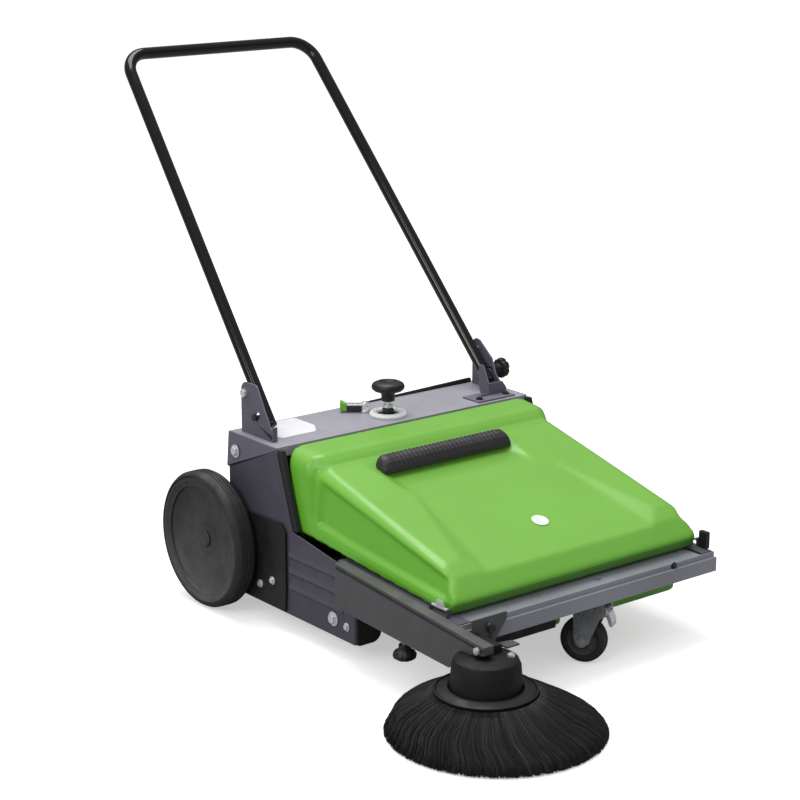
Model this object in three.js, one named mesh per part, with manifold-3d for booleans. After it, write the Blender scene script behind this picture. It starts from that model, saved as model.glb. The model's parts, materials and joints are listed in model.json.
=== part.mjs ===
// Walk-behind sweeper: push handle, two rear wheels, main cylindrical brush, lift-out
// waste hopper, side brush on a swinging arm, one swivelling front caster.
// Millimetres, +Z up, floor at Z = 0. The front faces -Y and the push handle is at +Y.
// "Left" in names means the -X side; the side brush is at the front left corner.
// Pieces are laid out from the middle of the wheel axle, X = 0 and Y = 0.
import * as THREE from 'three';
import { mergeVertices } from 'three/addons/utils/BufferGeometryUtils.js';
import { ConvexGeometry } from 'three/addons/geometries/ConvexGeometry.js';
import Module from 'manifold-3d';

const wasm = await Module();
wasm.setup();

// ---------------------------------------------------------------- driving dimensions
const BOX_CENTRE_SHIFT = { x: 57.5, y: 252.6 }; // brings the middle of the overall box to 0
const SHEET = 2.5;              // sheet thickness
const GAP = 0.35;               // clearance between touching pieces
const HALF_W = 289;             // outer face of a side panel
const INNER_HALF_W = HALF_W - SHEET - GAP; // widest a piece between the panels may reach
const TOP_Z = 327;              // top face of the top plate
const SEAT_Z = TOP_Z + GAP;     // underside of whatever stands on the top plate
const REAR_Y = -28;             // upper rear edge of the chassis
const PANEL_FRONT_Y = -171.5;   // front end of a side panel's top edge
const PLATE_FRONT_Y = -172;     // front edge of the top plate
const CROSS_Y = -664;           // front face of the crossbar's upper part

const WHEEL_R = 125;
const WHEEL_IN = 297;           // inner face of a rear wheel
const WHEEL_OUT = WHEEL_IN + 44;
const AXLE = [0, WHEEL_R];      // (Y, Z)
const AXLE_R = 8;
const AXLE_BORE_R = 8.4;

const BRUSH = [-215, 92];       // main brush shaft (Y, Z)
const BRUSH_R = 90;             // over the bristles
const BRUSH_HALF = 238;
const CARRIER_BAR = [-123, 222]; // cross bar of the brush carrier (Y, Z)
const HEIGHT_SCREW = [-4, -123]; // brush height spindle (X, Y)

const PIVOT = [-59, 400];       // handle pivot (Y, Z)
const CLAMP = [-92, 362];       // clamp bolt in the handle leg (Y, Z)
const BOLT_BORE_R = 4.4;

const ARM_PIVOT = [-420, 138];  // side brush arm pivot, also the belt shaft (Y, Z)
const ARM_OUT = -312;           // outer face of the side brush arm
const ARM_IN = -292;
const ARM_KNOB = [-302, -545];  // (X, Y)
const GEAR_INPUT = [-692, 126]; // input shaft of the side brush gearbox (Y, Z)
const SIDE_BRUSH = [-297, -741]; // side brush spindle (X, Y)
const SIDE_BRUSH_R = 177;
const GUIDE_BOLT = [-236, 139]; // bolt in the hanger plate's slot (X, Z)

const CASTER = [34, -640];      // swivel axis (X, Y)
const CASTER_R = 40;
const CASTER_TURN = -62;        // degrees, rolling direction at rest, from +X
const CASTER_TRAIL = 21;

// Groove radii, to the centre line of the belt
const WHEEL_GROOVE_R = 42;      // main brush belt
const TRANSFER_GROOVE_R = 36;   // belt to the side drive shaft
const BRUSH_GROOVE_R = 18;
const SHAFT_GROOVE_R = 14;
const GEAR_GROOVE_R = 11;

const SIDES = [[-1, 'left'], [1, 'right']];

// ---------------------------------------------------------------- finishes
const PANEL = { color: 0x524f5c, roughness: 0.45, metalness: 0.3 };
const PLATE = { color: 0xa5a3ae, roughness: 0.5, metalness: 0.4 };
const CROSSBAR = { color: 0x565d68, roughness: 0.45, metalness: 0.3 };
const ARM = { color: 0x505050, roughness: 0.45, metalness: 0.3 };
const HANGER = { color: 0x5d5a58, roughness: 0.5, metalness: 0.4 };
const CHROME = { color: 0xd8d8dc, roughness: 0.25, metalness: 0.9 };
const ZINC = { color: 0xa9abb0, roughness: 0.3, metalness: 0.9 };
const DARK_STEEL = { color: 0x34343a, roughness: 0.5, metalness: 0.6 };
const DARK_BOLT = { ...DARK_STEEL, roughness: 0.4, metalness: 0.8 };
const HANDLE_PAINT = { color: 0x0c0c0c, roughness: 0.25, metalness: 0.2 };
const GREEN = { color: 0x74bf44, roughness: 0.35 };
const BLACK = { color: 0x161616, roughness: 0.55 };
const RUBBER = { color: 0x202020, roughness: 0.8 };
const TYRE = { color: 0x3a3a3a, roughness: 0.75 };
const WHEEL_DISC = { color: 0x434343, roughness: 0.6 };
const BRUSH_CORE = { color: 0x2c2c30, roughness: 0.6 };
const BRUSH_DISC = { color: 0x1b1b1b, roughness: 0.6 };
const BRISTLE = { color: 0x1d1d1d, roughness: 0.9 };
const CASTER_TREAD = { color: 0x242424, roughness: 0.7 };
const BADGE = { color: 0xeef2ee, roughness: 0.4 };

// ---------------------------------------------------------------- solids
// Flips every triangle when they face inwards, which shows as a negative volume.
function faceOutward(geometry) {
  const position = geometry.attributes.position.array;
  const index = geometry.index.array;
  const corner = (i) => new THREE.Vector3().fromArray(position, 3 * index[i]);
  let volume = 0;
  for (let i = 0; i < index.length; i += 3) {
    volume += corner(i).dot(corner(i + 1).cross(corner(i + 2)));
  }
  if (volume < 0) {
    for (let i = 0; i < index.length; i += 3) {
      [index[i], index[i + 1]] = [index[i + 1], index[i]];
    }
  }
  return geometry;
}

function toSolid(geometry) {
  const bare = geometry.clone();
  bare.deleteAttribute('normal');
  bare.deleteAttribute('uv');
  const merged = faceOutward(mergeVertices(bare, 1e-3));
  return new wasm.Manifold(new wasm.Mesh({
    numProp: 3,
    vertProperties: Float32Array.from(merged.attributes.position.array),
    triVerts: Uint32Array.from(merged.index.array),
  }));
}

function toGeometry(solid) {
  const mesh = solid.getMesh();
  const geometry = new THREE.BufferGeometry();
  const position = Float32Array.from(mesh.vertProperties);
  geometry.setAttribute('position', new THREE.BufferAttribute(position, 3));
  geometry.setIndex(new THREE.BufferAttribute(Uint32Array.from(mesh.triVerts), 1));
  const flat = geometry.toNonIndexed();
  flat.computeVertexNormals();
  return flat;
}

const union = (...solids) => solids.reduce((sum, next) => sum.add(next));
const cut = (body, ...tools) => tools.reduce((rest, tool) => rest.subtract(tool), body);

// The range between two X distances, taken to the given side of the centre plane
const sideSpan = (side, a, b) => [Math.min(side * a, side * b), Math.max(side * a, side * b)];

function box([xFrom, xTo], [yFrom, yTo], [zFrom, zTo]) {
  const geometry = new THREE.BoxGeometry(xTo - xFrom, yTo - yFrom, zTo - zFrom);
  geometry.translate((xFrom + xTo) / 2, (yFrom + yTo) / 2, (zFrom + zTo) / 2);
  return toSolid(geometry);
}

function shapeOf(outline, holes = []) {
  const vectors = (points) => points.map(([a, b]) => new THREE.Vector2(a, b));
  const shape = new THREE.Shape(vectors(outline));
  for (const hole of holes) shape.holes.push(new THREE.Path(vectors(hole)));
  return shape;
}

// Directions of a profile's two coordinates and of its extrusion
const PRISM_AXES = {
  x: [[0, 1, 0], [0, 0, 1], [1, 0, 0]],
  y: [[1, 0, 0], [0, 0, 1], [0, -1, 0]],
};

// Profile in (Y, Z) extruded along x, or in (X, Z) along y
function prism(axis, outline, [from, to], holes) {
  const options = { depth: to - from, bevelEnabled: false };
  const geometry = new THREE.ExtrudeGeometry(shapeOf(outline, holes), options);
  const axes = PRISM_AXES[axis].map((direction) => new THREE.Vector3(...direction));
  geometry.applyMatrix4(new THREE.Matrix4().makeBasis(...axes));
  const start = axes[2].multiplyScalar(axis === 'y' ? -to : from);
  geometry.translate(start.x, start.y, start.z);
  return toSolid(geometry);
}

// Turns a round body from the Y axis to the given axis. The centre holds the other two
// coordinates in alphabetical order.
function alignTo(axis, geometry, along, [first, second]) {
  if (axis === 'x') geometry.rotateZ(-Math.PI / 2).translate(along, first, second);
  if (axis === 'y') geometry.translate(first, along, second);
  if (axis === 'z') geometry.rotateX(Math.PI / 2).translate(first, second, along);
  return toSolid(geometry);
}

function cylinder(axis, [from, to], centre, radius, segments) {
  const geometry = new THREE.CylinderGeometry(radius, radius, to - from, segments);
  return alignTo(axis, geometry, (from + to) / 2, centre);
}

// Closed profile of (radius, position along the axis) turned about an axis
function lathe(axis, profile, centre, segments) {
  const points = profile.map(([radius, along]) => new THREE.Vector2(radius, along));
  return alignTo(axis, new THREE.LatheGeometry(points, segments), 0, centre);
}

const hull = (points) => toSolid(
  new ConvexGeometry(points.map(([x, y, z]) => new THREE.Vector3(x, y, z))));

const corners = (xs, ys, zs) => ys.flatMap((y) => xs.flatMap((x) => zs.map((z) => [x, y, z])));

// Points of (X, Y), each at every given height
const atHeights = (points, heights) => points.flatMap(([x, y]) => heights.map((z) => [x, y, z]));

// Points of (half width, Y, Z) placed on both sides of a centre
const across = (centreX, points) => points.flatMap(
  ([half, y, z]) => [[centreX - half, y, z], [centreX + half, y, z]]);

// Open arc including both ends
function arc([a, b], radius, steps, from, to) {
  return Array.from({ length: steps + 1 }, (_, i) => {
    const angle = from + (to - from) * i / steps;
    return [a + radius * Math.cos(angle), b + radius * Math.sin(angle)];
  });
}
const ring = (centre, radius, steps) =>
  arc(centre, radius, steps, 0, 2 * Math.PI).slice(0, -1);

// Convex outline around circles of (centre, radius)
function convexOutline(circles) {
  const points = circles.flatMap(([centre, radius]) => ring(centre, radius, 16));
  points.sort((p, q) => p[0] - q[0] || p[1] - q[1]);
  const turn = (o, p, q) => (p[0] - o[0]) * (q[1] - o[1]) - (p[1] - o[1]) * (q[0] - o[0]);
  const chain = (sorted) => {
    const kept = [];
    for (const point of sorted) {
      while (kept.length > 1 && turn(kept.at(-2), kept.at(-1), point) <= 1e-6) kept.pop();
      kept.push(point);
    }
    return kept.slice(0, -1);
  };
  return [...chain(points), ...chain([...points].reverse())];
}

// Hexagonal head and round shank
function hexBolt(axis, centre, headSpan, headR, shankSpan, shankR) {
  return union(
    cylinder(axis, headSpan, centre, headR, 6),
    cylinder(axis, shankSpan, centre, shankR, 12));
}

// ---------------------------------------------------------------- scene
const group = new THREE.Group();
group.position.set(BOX_CENTRE_SHIFT.x, BOX_CENTRE_SHIFT.y, 0);

function add(name, solid, finish) {
  const mesh = new THREE.Mesh(toGeometry(solid), new THREE.MeshStandardMaterial(finish));
  mesh.name = name;
  group.add(mesh);
}

// ---------------------------------------------------------------- side panels
// (Y, Z): tall rear part, sloped front edge, low strip reaching forward
const PANEL_OUTLINE = [
  [REAR_Y, 60], [-62, 33], [-395, 33], [-395, 160],
  [-335, 168.5], [-218, 187], [PANEL_FRONT_Y, TOP_Z], [REAR_Y, TOP_Z]];
// (Y, Z): low rear part carrying the axle
const AXLE_EAR_OUTLINE = [
  [REAR_Y - 20, 60], [64, 60], [64, 165], [REAR_Y, 200], [REAR_Y - 20, 200]];
const RIB_HEIGHTS = [146, 117, 88];

function sidePanel(side) {
  const span = sideSpan(side, HALF_W - SHEET, HALF_W);
  const root = side * (HALF_W - 1);
  const raised = (height) => side * (HALF_W + height);
  // pressed ribs on the low front part
  const ribs = RIB_HEIGHTS.map((z) => hull([
    ...corners([root], [-206, -366], [z - 9, z + 7]),
    ...corners([raised(2.8)], [-210, -362], [z - 6, z - 1])]));
  // outside fold along the top, deeper towards the rear
  const fold = hull([
    [root, REAR_Y, 260],
    [root, REAR_Y, TOP_Z],
    [root, PANEL_FRONT_Y, TOP_Z - 6],
    [root, PANEL_FRONT_Y, TOP_Z],
    [raised(5), REAR_Y, 264],
    [raised(0.6), REAR_Y, TOP_Z],
    [raised(1.4), PANEL_FRONT_Y, TOP_Z - 5],
    [raised(0.6), PANEL_FRONT_Y, TOP_Z]]);
  const plate = prism('x', PANEL_OUTLINE, span);
  const ear = prism('x', AXLE_EAR_OUTLINE, span);
  // the left bore also clears the hub of the wheel pulley
  const boreSpan = [side * HALF_W - 6, side * HALF_W + 6];
  const bore = cylinder('x', boreSpan, AXLE, side < 0 ? 14.5 : AXLE_BORE_R, 24);
  return cut(union(plate, ...ribs, fold, ear), bore);
}
for (const [side, label] of SIDES) add(`side_panel_${label}`, sidePanel(side), PANEL);

// ---------------------------------------------------------------- top plate
// (Y, Z): folded sheet, rear wall at one end and a short lip at the front edge
const TOP_PLATE_OUTLINE = [
  [64, 84], [64, 165], [REAR_Y, 200], [REAR_Y, TOP_Z],
  [PLATE_FRONT_Y, TOP_Z], [PLATE_FRONT_Y, 309], [PLATE_FRONT_Y + SHEET, 309],
  [PLATE_FRONT_Y + SHEET, TOP_Z - SHEET], [REAR_Y - SHEET, TOP_Z - SHEET],
  [REAR_Y - SHEET, 198.2], [64 - SHEET, 163.2], [64 - SHEET, 84]];
add('top_plate', cut(
  prism('x', TOP_PLATE_OUTLINE, [-INNER_HALF_W, INNER_HALF_W]),
  cylinder('z', [300, 340], HEIGHT_SCREW, 6.5, 20)), PLATE);

// trim on the rear edge of the top plate, thicker towards +X
add('rear_edge_strip', hull([
  [10, REAR_Y - 1, SEAT_Z], [10, REAR_Y - 7, SEAT_Z],
  [10, REAR_Y - 1, TOP_Z + 2], [10, REAR_Y - 7, TOP_Z + 2],
  [268, REAR_Y - 1, SEAT_Z], [268, REAR_Y - 9, SEAT_Z],
  [268, REAR_Y - 1, TOP_Z + 8], [268, REAR_Y - 7, TOP_Z + 8],
]), { ...BLACK, roughness: 0.6 });

// ---------------------------------------------------------------- front rails
const RAIL_REAR_Y = -344;
const RAIL_FRONT_Y = CROSS_Y + SHEET + GAP;
const railTop = (y) => 170 + (y + 345) * (20 / 317);
const LATCH_BASE_Z = railTop(-590);
const LATCH_LUGS = [             // Y range, lower Z
  [[-590, -587], 151.8],
  [[-633, -630], 148.8]];

function rail(side) {
  const web = prism('x', [
    [RAIL_REAR_Y, 120], [RAIL_FRONT_Y, 118],
    [RAIL_FRONT_Y, railTop(RAIL_FRONT_Y)], [RAIL_REAR_Y, railTop(RAIL_REAR_Y)],
  ], sideSpan(side, INNER_HALF_W, INNER_HALF_W - SHEET));
  const flange = prism('x', [
    [RAIL_REAR_Y, railTop(RAIL_REAR_Y) - SHEET], [RAIL_FRONT_Y, railTop(RAIL_FRONT_Y) - SHEET],
    [RAIL_FRONT_Y, railTop(RAIL_FRONT_Y)], [RAIL_REAR_Y, railTop(RAIL_REAR_Y)],
  ], sideSpan(side, INNER_HALF_W, 262));
  // lugs the hopper latch turns between
  const lugs = LATCH_LUGS.map(([ySpan, zFrom]) =>
    box(sideSpan(side, 279, INNER_HALF_W), ySpan, [zFrom, LATCH_BASE_Z + 12]));
  const body = union(web, flange, ...lugs);
  if (side > 0) return body;
  // bushing the side brush arm swings on, with the belt shaft running through it
  return cut(
    body.add(cylinder('x', [-296.5, -284], ARM_PIVOT, 10, 24)),
    cylinder('x', [-300, -280], ARM_PIVOT, 6.4, 20));
}
for (const [side, label] of SIDES) add(`rail_${label}`, rail(side), PANEL);

// ---------------------------------------------------------------- front crossbar
// (Y, Z): stepped sheet section
const CROSSBAR_OUTLINE = [
  [-614, 148.4], [-614, 145.9], [CROSS_Y + SHEET, 145.9], [CROSS_Y + SHEET, 137.2],
  [CROSS_Y - 4, 137.2], [CROSS_Y - 4, 115], [CROSS_Y - 4 - SHEET, 115],
  [CROSS_Y - 4 - SHEET, 139.7], [CROSS_Y, 139.7], [CROSS_Y, 148.4]];

function frontCrossbar() {
  const seats = SIDES.map(([side]) =>
    box(sideSpan(side, INNER_HALF_W + 0.4, 258), [-661.5, -600], [100, 160]));
  // caster mounting pad under the top flange
  const pad = box([CASTER[0] - 64, CASTER[0] + 64], [-658, -616], [128, 146.5]);
  return cut(
    cut(prism('x', CROSSBAR_OUTLINE, [-HALF_W, HALF_W]), ...seats).add(pad),
    cylinder('y', [-690, -650], GUIDE_BOLT, BOLT_BORE_R, 16),
    cylinder('z', [120, 150], CASTER, 6.3, 20));
}
add('front_crossbar', frontCrossbar(), CROSSBAR);
add('crossbar_end_cap', box([278.6, 286.8], [-655, -636], [railTop(-636) + GAP, 182]),
  { ...BLACK, roughness: 0.6 });

// ---------------------------------------------------------------- handle brackets
const BRACKET_FRONT_Y = -141;
const BRACKET_WEB_Y = [BRACKET_FRONT_Y, BRACKET_FRONT_Y + SHEET];
const INNER_UPRIGHT_X = 222;

// Arc slot for the clamp bolt, about the handle pivot
function clampSlot() {
  const slotR = Math.hypot(CLAMP[0] - PIVOT[0], CLAMP[1] - PIVOT[1]);
  const middle = Math.atan2(CLAMP[1] - PIVOT[1], CLAMP[0] - PIVOT[0]);
  const halfSweep = THREE.MathUtils.degToRad(9);
  const halfWidth = 5;
  const start = middle - halfSweep;
  const end = middle + halfSweep;
  const edge = (radius, from, to) => arc(PIVOT, radius, 8, from, to);
  const cap = (at, from) => {
    const centre = [PIVOT[0] + slotR * Math.cos(at), PIVOT[1] + slotR * Math.sin(at)];
    return arc(centre, halfWidth, 6, from, from + Math.PI).slice(1, -1);
  };
  return [
    ...edge(slotR + halfWidth, start, end), ...cap(end, end),
    ...edge(slotR - halfWidth, end, start), ...cap(start, start + Math.PI)];
}

// outerX is the outer face of the upright; outlines are (Y, Z)
const BRACKETS = {
  left: {
    side: -1, outerX: 273, webX: 262.8, webTop: 353, footX: 262.8, footFront: -141,
    outline: [
      [-46, SEAT_Z], ...arc([-62, 404], 16, 4, 0, Math.PI / 2),
      ...arc([-88, 410], 10, 3, Math.PI / 2, Math.PI * 0.86),
      [BRACKET_FRONT_Y, 338], [BRACKET_FRONT_Y, SEAT_Z]],
  },
  right: {
    side: 1, outerX: 266, webX: 205, webTop: 334, footX: 177, footFront: -166,
    outline: [
      [-44, SEAT_Z], [-44, 407], [-48, 415], [-55, 418], [-65, 416], [-101, 387],
      [-112, 358], [BRACKET_FRONT_Y, 334], [BRACKET_FRONT_Y, SEAT_Z]],
  },
};

function handleBracket({ side, outerX, webX, webTop, footX, footFront, outline }) {
  const span = sideSpan(side, outerX, outerX - SHEET);
  const bore = cylinder('x', [span[0] - 2, span[1] + 2], PIVOT, BOLT_BORE_R, 16);
  return union(
    prism('x', outline, span, [clampSlot()]).subtract(bore),
    box(sideSpan(side, outerX, webX), BRACKET_WEB_Y, [SEAT_Z, webTop]),
    box(sideSpan(side, outerX, footX), [footFront, -118], [SEAT_Z, SEAT_Z + SHEET]));
}

// second upright of the right bracket and the web joining the two
function innerUpright() {
  const upright = prism('x', [
    [BRACKET_FRONT_Y, SEAT_Z], [BRACKET_FRONT_Y, 350], [-124, 384], [-112, 384],
    [-112, 345], [-118, SEAT_Z]], [INNER_UPRIGHT_X, INNER_UPRIGHT_X + SHEET]);
  const web = box([INNER_UPRIGHT_X, BRACKETS.right.outerX], BRACKET_WEB_Y, [SEAT_Z, 352]);
  const bevel = prism('y', [[250, 360], [270, 360], [270, 333]], [-150, -130]);
  return [upright, web.subtract(bevel)];
}
add('handle_bracket_left', handleBracket(BRACKETS.left), PANEL);
add('handle_bracket_right', union(handleBracket(BRACKETS.right), ...innerUpright()), PANEL);

// ---------------------------------------------------------------- seals, skirts and cover
// (Y, Z): seal in front of a panel's sloped edge
const SEAL_OUTLINE = [[-176, 325], [-188, 325], [-233, 190], [-221, 189]];
for (const [side, label] of SIDES) {
  add(`edge_seal_${label}`, prism('x', SEAL_OUTLINE, sideSpan(side, HALF_W, 279.3)),
    { ...BLACK, roughness: 0.7 });
}

// (X, Z) on the +X side: corner block with a rounded lower edge
const CORNER_BLOCK_OUTLINE = [
  [HALF_W, 100], [HALF_W, 36], [284, 33],
  ...arc([256, 51], 18, 5, -Math.PI / 2, -Math.PI), [238, 62], [257, 74], [257, 100]];

function skirt(side) {
  const stripSpan = sideSpan(side, 286.1, 280);
  return union(
    prism('y', CORNER_BLOCK_OUTLINE.map(([x, z]) => [side * x, z]), [-402, -395.4]),
    // strip inside the panel, and its slightly deeper front end
    prism('x', [[-70, 33.5], [-398, 33.5], [-398, 60], [-70, 60]], stripSpan),
    box(stripSpan, [-398, -395.4], [33, 60]));
}
for (const [side, label] of SIDES) add(`skirt_${label}`, skirt(side), RUBBER);

// cover over the belt drive, between the left wheel and the panel (Y, Z)
const DRIVE_COVER_OUTLINE = [
  [24, 60], [-22, 36], [-200, 36], [-203, 70], [-203, 182], [-190, 196], [-60, 196], [24, 170]];
add('drive_cover', cut(
  prism('x', DRIVE_COVER_OUTLINE, [-294.2, -HALF_W - GAP]),
  cylinder('x', [-300, -280], AXLE, 15.5, 24)), BLACK);

// ---------------------------------------------------------------- axle and fasteners
add('wheel_axle', cylinder('x', [-346, 346], AXLE, AXLE_R, 20), ZINC);
add('panel_bolt_left', cylinder('x', [-297.5, -293.2], [-55, 296], 7.5, 6), CHROME);
add('skirt_bolt_left',
  hexBolt('x', [-336, 64], [-295.5, -289.4], 8, [-298, -294], 4.5), CHROME);
add('guide_bolt', hexBolt('y', GUIDE_BOLT, [-685, -680], 8, [-681, -668], 4), DARK_BOLT);
add('pivot_bolt_left', hexBolt('x', PIVOT, [-279.5, -273.4], 8, [-277, -240], 4), CHROME);
add('pivot_bolt_right', hexBolt('x', PIVOT, [266.4, 272.5], 8, [240, 270], 4), CHROME);

// ---------------------------------------------------------------- handle
const TUBE_R = 11;
const TUBE_BORE_R = TUBE_R - 1.8;
const BEND_R = 46;
const BEND_STEPS = 7;
const LEG_X = 251.7;            // tube centre at the lower end
const LEG_TOP_X = 212.1;        // tube centre where leg and grip bar would meet
const LEG_LOW = [-104.4, 348.4]; // (Y, Z)
const LEG_TOP = [411.8, 946.5]; // (Y, Z)

// A path through given stations, so that each station gets its own ring
class StationPath extends THREE.Curve {
  constructor(stations) {
    super();
    this.stations = stations;
  }

  stationAt(fraction) {
    return this.stations[Math.round(fraction * (this.stations.length - 1))];
  }

  getPointAt(fraction, target = new THREE.Vector3()) {
    return target.copy(this.stationAt(fraction).point);
  }

  getTangentAt(fraction, target = new THREE.Vector3()) {
    return target.copy(this.stationAt(fraction).tangent);
  }
}

// Stations of a round bend replacing a sharp corner
function bend(before, corner, after) {
  const toBefore = before.clone().sub(corner).normalize();
  const toAfter = after.clone().sub(corner).normalize();
  const halfAngle = toBefore.angleTo(toAfter) / 2;
  const tangentLength = BEND_R / Math.tan(halfAngle);
  const bisector = toBefore.clone().add(toAfter).normalize();
  const centre = corner.clone().addScaledVector(bisector, BEND_R / Math.sin(halfAngle));
  const start = corner.clone().addScaledVector(toBefore, tangentLength).sub(centre);
  const end = corner.clone().addScaledVector(toAfter, tangentLength).sub(centre);
  const normal = start.clone().cross(end).normalize();
  const sweep = start.angleTo(end);
  return Array.from({ length: BEND_STEPS + 1 }, (_, i) => {
    const spoke = start.clone().applyAxisAngle(normal, sweep * i / BEND_STEPS);
    return {
      point: centre.clone().add(spoke),
      tangent: normal.clone().cross(spoke).normalize(),
    };
  });
}

// One bent tube: two straight legs, two bends, one straight grip bar
function handleTube() {
  const leftLow = new THREE.Vector3(-LEG_X, ...LEG_LOW);
  const leftTop = new THREE.Vector3(-LEG_TOP_X, ...LEG_TOP);
  const rightTop = new THREE.Vector3(LEG_TOP_X, ...LEG_TOP);
  const rightLow = new THREE.Vector3(LEG_X, ...LEG_LOW);
  const stations = [
    { point: leftLow, tangent: leftTop.clone().sub(leftLow).normalize() },
    ...bend(leftLow, leftTop, rightTop),
    ...bend(leftTop, rightTop, rightLow),
    { point: rightLow, tangent: rightLow.clone().sub(rightTop).normalize() }];
  const section = shapeOf(ring([0, 0], TUBE_R, 16), [ring([0, 0], TUBE_BORE_R, 8)]);
  const tube = toSolid(new THREE.ExtrudeGeometry(section, {
    steps: stations.length - 1,
    extrudePath: new StationPath(stations),
    bevelEnabled: false,
  }));
  return cut(tube,
    ...[PIVOT, CLAMP].map((centre) => cylinder('x', [-300, 300], centre, BOLT_BORE_R, 12)));
}
add('handle_tube', handleTube(), HANDLE_PAINT);
add('clamp_bolt_left', hexBolt('x', CLAMP, [-279, -273.4], 7, [-277, -240], 4), DARK_BOLT);

// Clamping knob with six shallow hollows round its rim, and its stud
function clampKnob() {
  const knob = lathe('x', [
    [0, 284], [9, 284], [10, 287], [17, 289], [19, 293], [19, 298], [16, 302], [0, 303],
  ], CLAMP, 18);
  const hollows = ring(CLAMP, 22.5, 6).map((centre) => cylinder('x', [280, 310], centre, 6, 8));
  return union(
    cut(knob, ...hollows),
    cylinder('x', [266.4, 285], CLAMP, 8, 16),
    cylinder('x', [240, 268], CLAMP, 4, 12));
}
add('clamp_knob', clampKnob(), { ...BLACK, roughness: 0.45 });

// ---------------------------------------------------------------- brush height setting
add('height_dial', lathe('z', [
  [9, SEAT_Z], [34, SEAT_Z], [34, TOP_Z + 5], [31, TOP_Z + 8], [20, TOP_Z + 8],
  [17, TOP_Z + 5.5], [9, TOP_Z + 5.5], [9, SEAT_Z],
], HEIGHT_SCREW, 28), { ...CHROME, roughness: 0.3, metalness: 0.6 });
add('height_spindle', union(
  cylinder('z', [206, 353.6], HEIGHT_SCREW, 5, 16),
  lathe('z', [[0, 342], [9, 342], [9, 347], [0, 347]], HEIGHT_SCREW, 20),
), { ...CHROME, roughness: 0.2 });
add('height_knob', lathe('z', [
  [0, 354], [12.5, 354], [12.5, 366], [15, 370], [27, 374], [30, 378], [30, 382],
  [27, 386], [18, 389.5], [0, 391],
], HEIGHT_SCREW, 28), { ...BLACK, roughness: 0.4 });

// ---------------------------------------------------------------- lock lever
const LEVER_HUB = new THREE.Vector2(-24, -81);
const LEVER_TIP = new THREE.Vector2(-60, -52);
const LEVER_ARM_END = LEVER_HUB.clone().lerp(LEVER_TIP, 0.72);
const LEVER_DIRECTION = LEVER_TIP.clone().sub(LEVER_HUB).normalize();

// Bar between two (X, Y) points; each end has a half width and a Z range above the plate
function leverBar(...ends) {
  return hull(ends.flatMap(([point, half, heights]) => atHeights([half, -half].map((offset) => [
    point.x - offset * LEVER_DIRECTION.y,
    point.y + offset * LEVER_DIRECTION.x,
  ]), heights.map((height) => TOP_Z + height))));
}

const { x: hubX, y: hubY } = LEVER_HUB;
add('lock_lever', union(
  cylinder('z', [SEAT_Z, TOP_Z + 14], [hubX, hubY], 9, 20),
  box([hubX - 7, hubX + 8], [hubY - 8, hubY + 8], [TOP_Z + 3, TOP_Z + 13]),
  leverBar([LEVER_HUB, 5, [6, 12]], [LEVER_ARM_END, 4.5, [6, 12]])), CHROME);
const gripStart = LEVER_ARM_END.clone().addScaledVector(LEVER_DIRECTION, 0.4);
add('lock_lever_grip', leverBar([gripStart, 7, [4, 16]], [LEVER_TIP, 10, [3, 22]]),
  { ...GREEN, roughness: 0.4 });

// ---------------------------------------------------------------- rear wheels
// (radius, distance from the centre plane)
const TYRE_PROFILE = [
  [99, WHEEL_IN], [117, WHEEL_IN], [123.5, WHEEL_IN + 4], [WHEEL_R, WHEEL_IN + 12],
  [WHEEL_R, WHEEL_OUT - 12], [123.5, WHEEL_OUT - 4], [117, WHEEL_OUT], [99, WHEEL_OUT],
  [99, WHEEL_IN]];
const DISC_PROFILE = [
  [AXLE_BORE_R, WHEEL_IN + 1], [20, WHEEL_IN + 1], [26, WHEEL_IN + 14], [80, WHEEL_IN + 14],
  [88, WHEEL_IN + 3], [98.6, WHEEL_IN + 3], [98.6, WHEEL_OUT - 3], [93, WHEEL_OUT - 2],
  [84, WHEEL_OUT - 10], [40, WHEEL_OUT - 13], [30, WHEEL_OUT - 6], [16, WHEEL_OUT - 3],
  [AXLE_BORE_R, WHEEL_OUT - 3], [AXLE_BORE_R, WHEEL_IN + 1]];
for (const [side, label] of SIDES) {
  const toSide = (profile) => profile.map(([radius, x]) => [radius, side * x]);
  add(`tyre_${label}`, lathe('x', toSide(TYRE_PROFILE), AXLE, 40), TYRE);
  add(`wheel_disc_${label}`, lathe('x', toSide(DISC_PROFILE), AXLE, 28), WHEEL_DISC);
}

// two-groove belt pulley reaching inwards from the left wheel
add('wheel_pulley', lathe('x', [
  [AXLE_BORE_R, -297.6], [13.6, -297.6], [13.6, -283], [TRANSFER_GROOVE_R + 6, -283],
  [TRANSFER_GROOVE_R + 6, -281.6], [TRANSFER_GROOVE_R - 3.2, -280.2],
  [TRANSFER_GROOVE_R - 3.2, -273.8], [TRANSFER_GROOVE_R + 6, -272.4],
  [WHEEL_GROOVE_R + 6, -266], [WHEEL_GROOVE_R - 3.4, -262.5],
  [WHEEL_GROOVE_R - 3.4, -253.5], [WHEEL_GROOVE_R + 6, -250.5],
  [WHEEL_GROOVE_R + 6, -249], [AXLE_BORE_R, -249], [AXLE_BORE_R, -297.6],
], AXLE, 24), DARK_STEEL);

// ---------------------------------------------------------------- main brush
const BRUSH_BORE_R = 9.4;       // in the parts that sit on the brush shaft
add('main_brush_core', union(
  cylinder('x', [-BRUSH_HALF - 1, BRUSH_HALF + 1], BRUSH, 33, 24),
  cylinder('x', [-268, 252], BRUSH, 9, 20)), BRUSH_CORE);

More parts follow.
